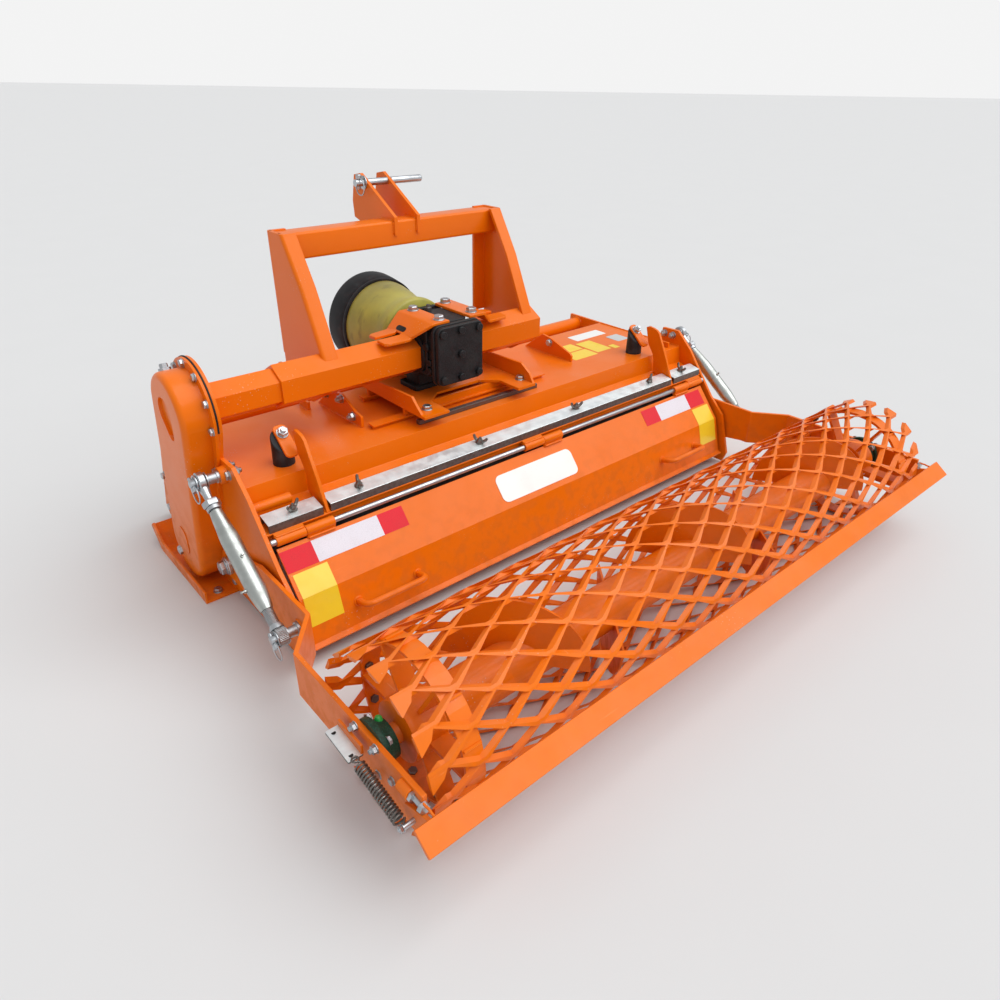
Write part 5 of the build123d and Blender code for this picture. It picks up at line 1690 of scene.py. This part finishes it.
@dataclass
class LinkDress:
    """The two turnbuckles: sleeves, rod ends, studs, necks, washers and linch pins."""

    x: float = 867.0
    plate_x: float = 808.0
    arm_x: float = 824.0
    pivot: Pair = (-138.0, 104.0)
    sleeve: Outline = (
        (0.079, 0.0100), (0.080, 0.0140), (0.100, 0.0162), (0.128, 0.0186), (0.146, 0.0206),
        (0.152, 0.0210), (0.279, 0.0210), (0.287, 0.0204), (0.319, 0.0168), (0.331, 0.0142),
        (0.331, 0.0114), (0.213, 0.0114), (0.212, 0.0020),
    )
    eye: Outline = (
        (-0.0085, 0.0110), (-0.0085, 0.0195), (-0.0060, 0.0225),
        (0.0060, 0.0225), (0.0085, 0.0195), (0.0085, 0.0110),
    )
    shank: Outline = ((0.0, 0.0110), (0.008, 0.0105), (0.014, 0.0092), (0.074, 0.0092))
    lock_nut: Outline = ((0.0, 0.0190), (0.002, 0.0205), (0.013, 0.0205), (0.015, 0.0190))
    collar: Outline = ((0.0, 0.0150), (0.001, 0.0160), (0.009, 0.0160), (0.010, 0.0130))
    neck: Outline = ((0.0, 0.0120), (0.006, 0.0150), (0.012, 0.0165))
    boss: Outline = ((0.0, 0.0230), (0.002, 0.0210), (0.016, 0.0200), (0.018, 0.0185))
    stud: Outline = (
        (0.0, 0.0095), (0.0170, 0.0095), (0.0172, 0.0150), (0.0240, 0.0150), (0.0245, 0.0125),
        (0.0400, 0.0125), (0.0460, 0.0110), (0.0462, 0.0095), (0.0810, 0.0095), (0.0830, 0.0080),
    )
    pivot_head: Outline = (
        (0.0, 0.0150), (0.0165, 0.0150), (0.0166, 0.0240), (0.0240, 0.0240), (0.0255, 0.0225)
    )
    arm_stud: Outline = (
        (0.0, 0.0095), (0.0005, 0.0170), (0.0080, 0.0165), (0.0085, 0.0125),
        (0.0290, 0.0120), (0.0300, 0.0095), (0.0650, 0.0095), (0.0670, 0.0080),
    )

    def build(self) -> None:
        """Makes the pieces of both links."""
        self.build_studs()
        for side in SIDES:
            top, low = side.spot(self.x, *LINK_TOP), side.spot(self.x, *LINK_LOW)
            way = (low - top).normalized()
            barrel = Shape()
            barrel.turned(top, way, self.sleeve, 28)
            upward = way.cross(side.out) * (1.0 if way.cross(side.out).z > 0.0 else -1.0)
            barrel.nipple(top + way * 0.205 + upward * 0.0205, upward)
            barrel.nipple(top + way * 0.275 + side.out * 0.0205, side.out)
            barrel_body = "link_barrel_" + side.name + "_body"
            piece = barrel.finished("link_sleeve_" + side.name, Finish.LINK, barrel_body)
            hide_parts("link_barrel_" + side.name)
            end = Shape()
            self.rod_end(end, top, way)
            end.finished("link_rod_end_" + side.name, Finish.ZINC, barrel_body)
            neck = Shape()
            neck.turned(low - way * 0.030, way, self.neck)
            screw_body = "link_screw_" + side.name + "_body"
            neck.finished("link_eye_neck_" + side.name, Finish.ZINC, screw_body)
            boss = Shape()
            boss.turned(side.spot(self.plate_x, *LINK_TOP), side.out, self.boss, 30)
            boss.finished("link_stud_boss_" + side.name, Finish.ORANGE)
            for place, body, name in ((top, "frame", "upper"), (low, "roller_frame", "lower")):
                clip = Shape()
                for far in (0.0102, -0.0132):
                    clip.washer(place + side.out * far, side.out, 0.019, 0.003)
                clip.linch_pin(place + side.out * 0.0185, way, Vector((0.0, -0.5, -1.0)))
                clip.finished("link_" + name + "_clip_" + side.name, Finish.ZINC, body)

    def rod_end(self, shape: Shape, top: Vector, way: Vector) -> None:
        """The upper eye with its threaded shank and lock nut.

        Args:
            shape: the shape that takes it.
            top: middle of the eye.
            way: direction along the link, downwards.
        """
        spans = [circle(top + RIGHT * far, square_to(RIGHT), reach, 36) for far, reach in self.eye]
        shape.skin([list(ring) for ring in zip(*spans)], True)
        shape.turned(top + way * 0.0195, way, self.shank, 24)
        shape.turned(top + way * 0.052, way, self.lock_nut, 6)
        shape.turned(top + way * 0.067, way, self.collar, 24)

    def build_studs(self) -> None:
        """The studs of the upper and lower eyes and the arms' pivot pins."""
        upper, lower = Shape(), Shape()
        for side in SIDES:
            upper.turned(side.spot(self.plate_x, *LINK_TOP), side.out, self.stud, 28)
            upper.turned(side.spot(self.plate_x, *self.pivot), side.out, self.pivot_head, 36)
            lower.turned(side.spot(self.arm_x, *LINK_LOW), side.out, self.arm_stud, 28)
        piece = upper.finished("side_studs", Finish.ZINC)
        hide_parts("frame_pins")
        piece = lower.finished("arm_studs", Finish.ZINC, "roller_frame")
        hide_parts("arm_pins")


@dataclass
class RollerDress:
    """Hub sleeves, rim screws and weld lumps of the mesh roller, and its bearings' caps."""

    axis: Pair = (-907.0, 172.0)
    rim: float = 790.0
    rim_radius: float = 0.167
    rim_screws: int = 12
    grooves: int = 7
    bearing_bolts: float = 0.0455
    shoulder: Outline = ((0.0, 0.045), (0.010, 0.040), (0.016, 0.0385))
    cap: Outline = ((0.0, 0.0075), (0.008, 0.0070), (0.011, 0.0045))
    cap_way: Place = (0.0, 0.35, 0.94)

    def hub(self) -> list[Pair]:
        """Profile of the grooved sleeve on each hub."""
        profile = [(0.0, 0.050), (0.001, 0.060)]
        for i in range(self.grooves):
            profile += [(0.004 + 0.009 * i, 0.0615), (0.0085 + 0.009 * i, 0.0600)]
        return profile + [(0.070, 0.0600), (0.071, 0.050)]

    def build(self) -> None:
        """Makes the roller's pieces."""
        hubs, screws = Shape(), Shape()
        for side in SIDES:
            hubs.turned(side.spot(766.0, *self.axis), side.out, self.hub(), 36)
            for out in spokes(self.rim_screws, 0.14):
                place = side.spot(self.rim + 6.0, *self.axis) + out * (self.rim_radius - 0.0095)
                screws.bolt(place, -out, 0.010, Head.HEX, False)
                reach = out * (self.rim_radius - 0.0015)
                ends = (self.rim - 18.0, self.rim + 18.0)
                hubs.tube([side.spot(x, *self.axis) + reach for x in ends], 0.0030, 6)
        hubs.finished("roller_hubs", Finish.ROLLER, "roller")
        screws.finished("roller_rim_screws", Finish.BARE, "roller")
        self.build_bearings()

    def build_bearings(self) -> None:
        """Shoulders, bolts and grease caps of the roller's two bearings."""
        caps, bolts, cast = Shape(), Shape(), Shape()
        lift = Vector(self.cap_way)
        for side in SIDES:
            face, inward = side.spot(876.0, *self.axis), -side.out
            for out in spokes(4, math.pi / 4.0):
                reach = out * self.bearing_bolts
                bolts.bolt(face + reach, inward, 0.009)
                bolts.nut(side.spot(898.0, *self.axis) + reach, side.out, 0.009)
            cast.turned(face, inward, self.shoulder, 28, capped=False)
            caps.turned(face + inward * 0.013 + lift * 0.036, lift, self.cap, 14)
        caps.finished("bearing_grease_caps", Finish.GREEN_CAP, "roller_frame")
        bolts.finished("bearing_bolts", Finish.ZINC, "roller_frame")
        cast.finished("bearing_shoulders", Finish.GREEN_CAST, "roller_frame")


@dataclass
class ScraperDress:
    """Coil springs, their hooks and bolts, and the stop screws of the scraper bar."""

    start: Place = (926.0, -921.0, 176.0)
    reach: Place = (0.0, -145.0, -28.0)
    long: float = 0.134
    inset: float = 0.008
    coil: float = 0.0097
    wire: float = 0.0021
    turns: int = 18
    arm_x: float = 898.0
    stop: Place = (899.0, -1013.0, 191.0)
    screw: Place = (899.0, -1043.0, 191.0)
    barrel: Outline = ((0.0, 0.0118), (0.001, 0.0130), (0.029, 0.0130), (0.030, 0.0118))
    shank: Outline = ((0.0, 0.0055), (0.034, 0.0055))
    head: Outline = ((0.0, 0.0100), (0.001, 0.0112), (0.008, 0.0112))
    lock_nut: Outline = ((0.0, 0.0105), (0.001, 0.0112), (0.009, 0.0100))
    shelf: Place = (907.0, -872.0, 173.0)
    shelf_size: Pair = (0.030, 0.078)
    shelf_thick: float = 0.005
    shelf_over: Place = (0.0, -0.994, -0.106)
    shelf_up: Place = (0.0, 0.106, 0.994)
    painted_hole_shades: Pair = (-0.028, 0.029)

    def build(self) -> None:
        """Makes the scraper's pieces."""
        springs, bolts, blocks = Shape(), Shape(), Shape()
        way = Vector(self.reach).normalized()
        for side in SIDES:
            begin = side.spot(*self.start) + way * self.inset
            end = begin + way * (self.long - 2.0 * self.inset)
            springs.coil(begin, end, self.coil, self.wire, self.turns)
            hook = begin - way * 0.010 - way * 0.004
            springs.ring(hook, UP, 0.0060, 0.0019, 14)
            foot = end + way * 0.012
            bolts.turned(foot - side.out * 0.026, side.out, ((0.0, 0.0050), (0.032, 0.0050)), 14)
            bolts.nut(foot + side.out * 0.002, side.out, 0.007, 0.3)
            bolts.bolt(side.spot(self.arm_x, -985.0, 168.0), side.out, 0.008)
            blocks.turned(side.spot(*self.stop), BACK, self.barrel, 24)
            screw = side.spot(*self.screw)
            bolts.turned(screw, BACK, self.shank, 14)
            bolts.turned(screw, BACK, self.head, 6)
            bolts.turned(screw + BACK * 0.027, BACK, self.lock_nut, 6)
            x = side.sign * self.arm_x
            blocks.seam((x, -1072.0, 200.0), (x, -1104.0, 199.0), 0.0028)
        piece = springs.finished("scraper_coil_springs", Finish.SPRING, "roller_frame")
        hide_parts("scraper_springs")
        self.build_angles()
        bolts.finished("scraper_bolts", Finish.ZINC, "roller_frame")
        blocks.finished("scraper_stop_blocks", Finish.ORANGE, "roller_frame", soft=0.0008)

    def build_angles(self) -> None:
        """Bright angles on the arms, from which the springs hang, each with two dark discs of painted shade where
        its holes are.
        """
        shelves, legs, painted_hole_shades = Shape(), Shape(), Shape()
        wide, long = self.shelf_size
        outline = [(a + wide / 2.0, b) for a, b in rounded(wide, long, 0.002, 2)]
        for side in SIDES:
            sign = side.sign
            shelf = Grip(side.spot(*self.shelf), side.out, Vector(self.shelf_over) * sign)
            shelves.plate(shelf, outline, self.shelf_thick * sign)
            for over in self.painted_hole_shades:
                # Dark discs on the shelf where its holes are: painted shade in place of the openings.
                place = shelf.at(0.019, over * sign, 0.0051 * sign)
                rim = ((-0.0004, 0.0042), (0.0003, 0.0042))
                painted_hole_shades.turned(place, Vector(self.shelf_up), rim, 16)
            leg = Grip(side.spot(906.6, self.shelf[1], 184.0), AHEAD * sign, UP)
            legs.plate(leg, rounded(long, 0.022, 0.003, 3), self.shelf_thick)
        piece = shelves.finished("spring_shelves", Finish.STRIP, "roller_frame", soft=0.0006)
        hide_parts("spring_plates")
        legs.finished("spring_shelf_legs", Finish.ROLLER, "roller_frame", soft=0.0006)
        painted_hole_shades.finished("spring_shelf_hole_shades", Finish.GASKET, "roller_frame")


@dataclass
class FrameDress:
    """Fasteners and seams low on the side plates: arm pivots, rotor hub, skids and arm studs."""

    pivot: Pair = (-138.0, 104.0)
    hub: Pair = (0.0, 183.0)
    hub_bolts: float = 0.062
    skid_bolts: Pair = (-90.0, 160.0)

    def build(self) -> None:
        """Makes the pieces."""
        bolts, skids, arms = Shape(), Shape(), Shape()
        for side in SIDES:
            bolts.bolt(side.spot(833.5, *self.pivot), side.out, 0.020)
            for y in self.skid_bolts:
                bolts.bolt(side.spot(850.0, y, 8.0), UP, 0.012)
            x = side.sign * 808.0
            skids.seam((x, -112.0, 8.5), (x, 196.0, 8.5), 0.0034)
            arms.ring(side.spot(824.3, *LINK_LOW), RIGHT, 0.0195, 0.0028, 24)
        for out in spokes(4, math.pi / 4.0):
            bolts.bolt(spot(820.0, *self.hub) + out * self.hub_bolts, RIGHT, 0.012)
        bolts.nipple(spot(845.9, *self.hub), RIGHT)
        bolts.finished("frame_bolts", Finish.ZINC)
        skids.finished("skid_seams", Finish.ORANGE)
        arms.finished("arm_seams", Finish.ORANGE, "roller_frame")


@dataclass
class Studio:
    """Floor, soft light and the camera at the photograph's angle."""

    camera_place: Place = (-1298.6, -1693.9, 1172.6)
    yaw: float = 41.4197
    pitch: float = 30.3599
    roll: float = 0.9517
    focal: float = 26.18
    sensor: float = 36.0
    clip: Pair = (0.05, 60.0)
    floor_half: float = 400.0
    sky: Rgb = (0.80, 0.81, 0.82)
    sky_strength: float = 0.74
    backdrop: Rgb = (0.90, 0.90, 0.90)
    lamps: tuple[tuple[str, Place, float, float], ...] = (
        ("overhead", (0.45, -0.50, 1.0), 64.0, 2.15),
        ("side", (-0.5, -0.9, 0.8), 60.0, 0.12),
    )

    def build(self) -> None:
        """Makes the stage."""
        self.build_floor()
        self.build_light()
        self.build_camera()

    def build_floor(self) -> None:
        """A level floor."""
        data = bpy.data.meshes.new("floor")
        half = self.floor_half
        corners = [(x * half, y * half, 0.0) for x, y in ((-1, -1), (1, -1), (1, 1), (-1, 1))]
        data.from_pydata(corners, [], [(0, 1, 2, 3)])
        data.materials.append(StudioFloor().make("floor"))
        floor = bpy.data.objects.new("floor", data)
        bpy.context.scene.collection.objects.link(floor)

    def build_light(self) -> None:
        """A plain pale world and two broad soft lamps, the stronger one overhead."""
        world = bpy.data.worlds.new("studio")
        bpy.context.scene.world = world
        world.use_nodes = True
        nodes, links = world.node_tree.nodes, world.node_tree.links
        light, backdrop = nodes["Background"], nodes.new("ShaderNodeBackground")
        light.inputs["Color"].default_value = (*self.sky, 1.0)
        light.inputs["Strength"].default_value = self.sky_strength
        backdrop.inputs["Color"].default_value = (*self.backdrop, 1.0)
        chooser, rays = nodes.new("ShaderNodeMixShader"), nodes.new("ShaderNodeLightPath")
        sources = (rays.outputs["Is Camera Ray"], light.outputs[0], backdrop.outputs[0])
        for number, source in enumerate(sources):
            links.new(source, chooser.inputs[number])
        links.new(chooser.outputs[0], nodes["World Output"].inputs["Surface"])
        for name, towards, spread, power in self.lamps:
            lamp = bpy.data.lights.new(name, "SUN")
            lamp.energy = power
            lamp.angle = math.radians(spread)
            holder = bpy.data.objects.new(name, lamp)
            holder.rotation_euler = Vector(towards).to_track_quat("Z", "Y").to_euler()
            bpy.context.scene.collection.objects.link(holder)

    def build_camera(self) -> None:
        """The camera, from its yaw, pitch and roll."""
        yaw, pitch, roll = (math.radians(a) for a in (self.yaw, self.pitch, self.roll))
        flat = math.cos(pitch)
        look = Vector((math.sin(yaw) * flat, math.cos(yaw) * flat, -math.sin(pitch)))
        level = Vector((math.cos(yaw), -math.sin(yaw), 0.0))
        lift = level.cross(look)
        across = level * math.cos(roll) + lift * math.sin(roll)
        upward = lift * math.cos(roll) - level * math.sin(roll)
        lens = bpy.data.cameras.new("camera")
        lens.sensor_width = self.sensor
        lens.lens = self.focal
        lens.clip_start, lens.clip_end = self.clip
        camera = bpy.data.objects.new("camera", lens)
        turn = Matrix((across, upward, -look)).transposed().to_4x4()
        camera.matrix_world = Matrix.Translation(spot(*self.camera_place)) @ turn
        bpy.context.scene.collection.objects.link(camera)
        bpy.context.scene.camera = camera
        bpy.context.scene.view_settings.view_transform = "Standard"


class Maker(Protocol):
    """What every part of the scene can do."""

    def build(self) -> None:
        """Makes its pieces."""


def main() -> None:
    """Builds the machine's looks in order."""
    logging.basicConfig(level=logging.INFO, format="%(name)s: %(message)s")
    makers: tuple[Maker, ...] = (
        Studio(),
        CadDress(),
        DoorDress(),
        HoodDress(),
        GearboxDress(),
        BracketDress(),
        RailDress(),
        GuardDress(),
        StopDress(),
        HitchDress(),
        ChainCaseDress(),
        LinkDress(),
        RollerDress(),
        ScraperDress(),
        FrameDress(),
    )
    for maker in makers:
        log.info("building %s", type(maker).__name__)
        maker.build()


if __name__ == "__main__":
    main()
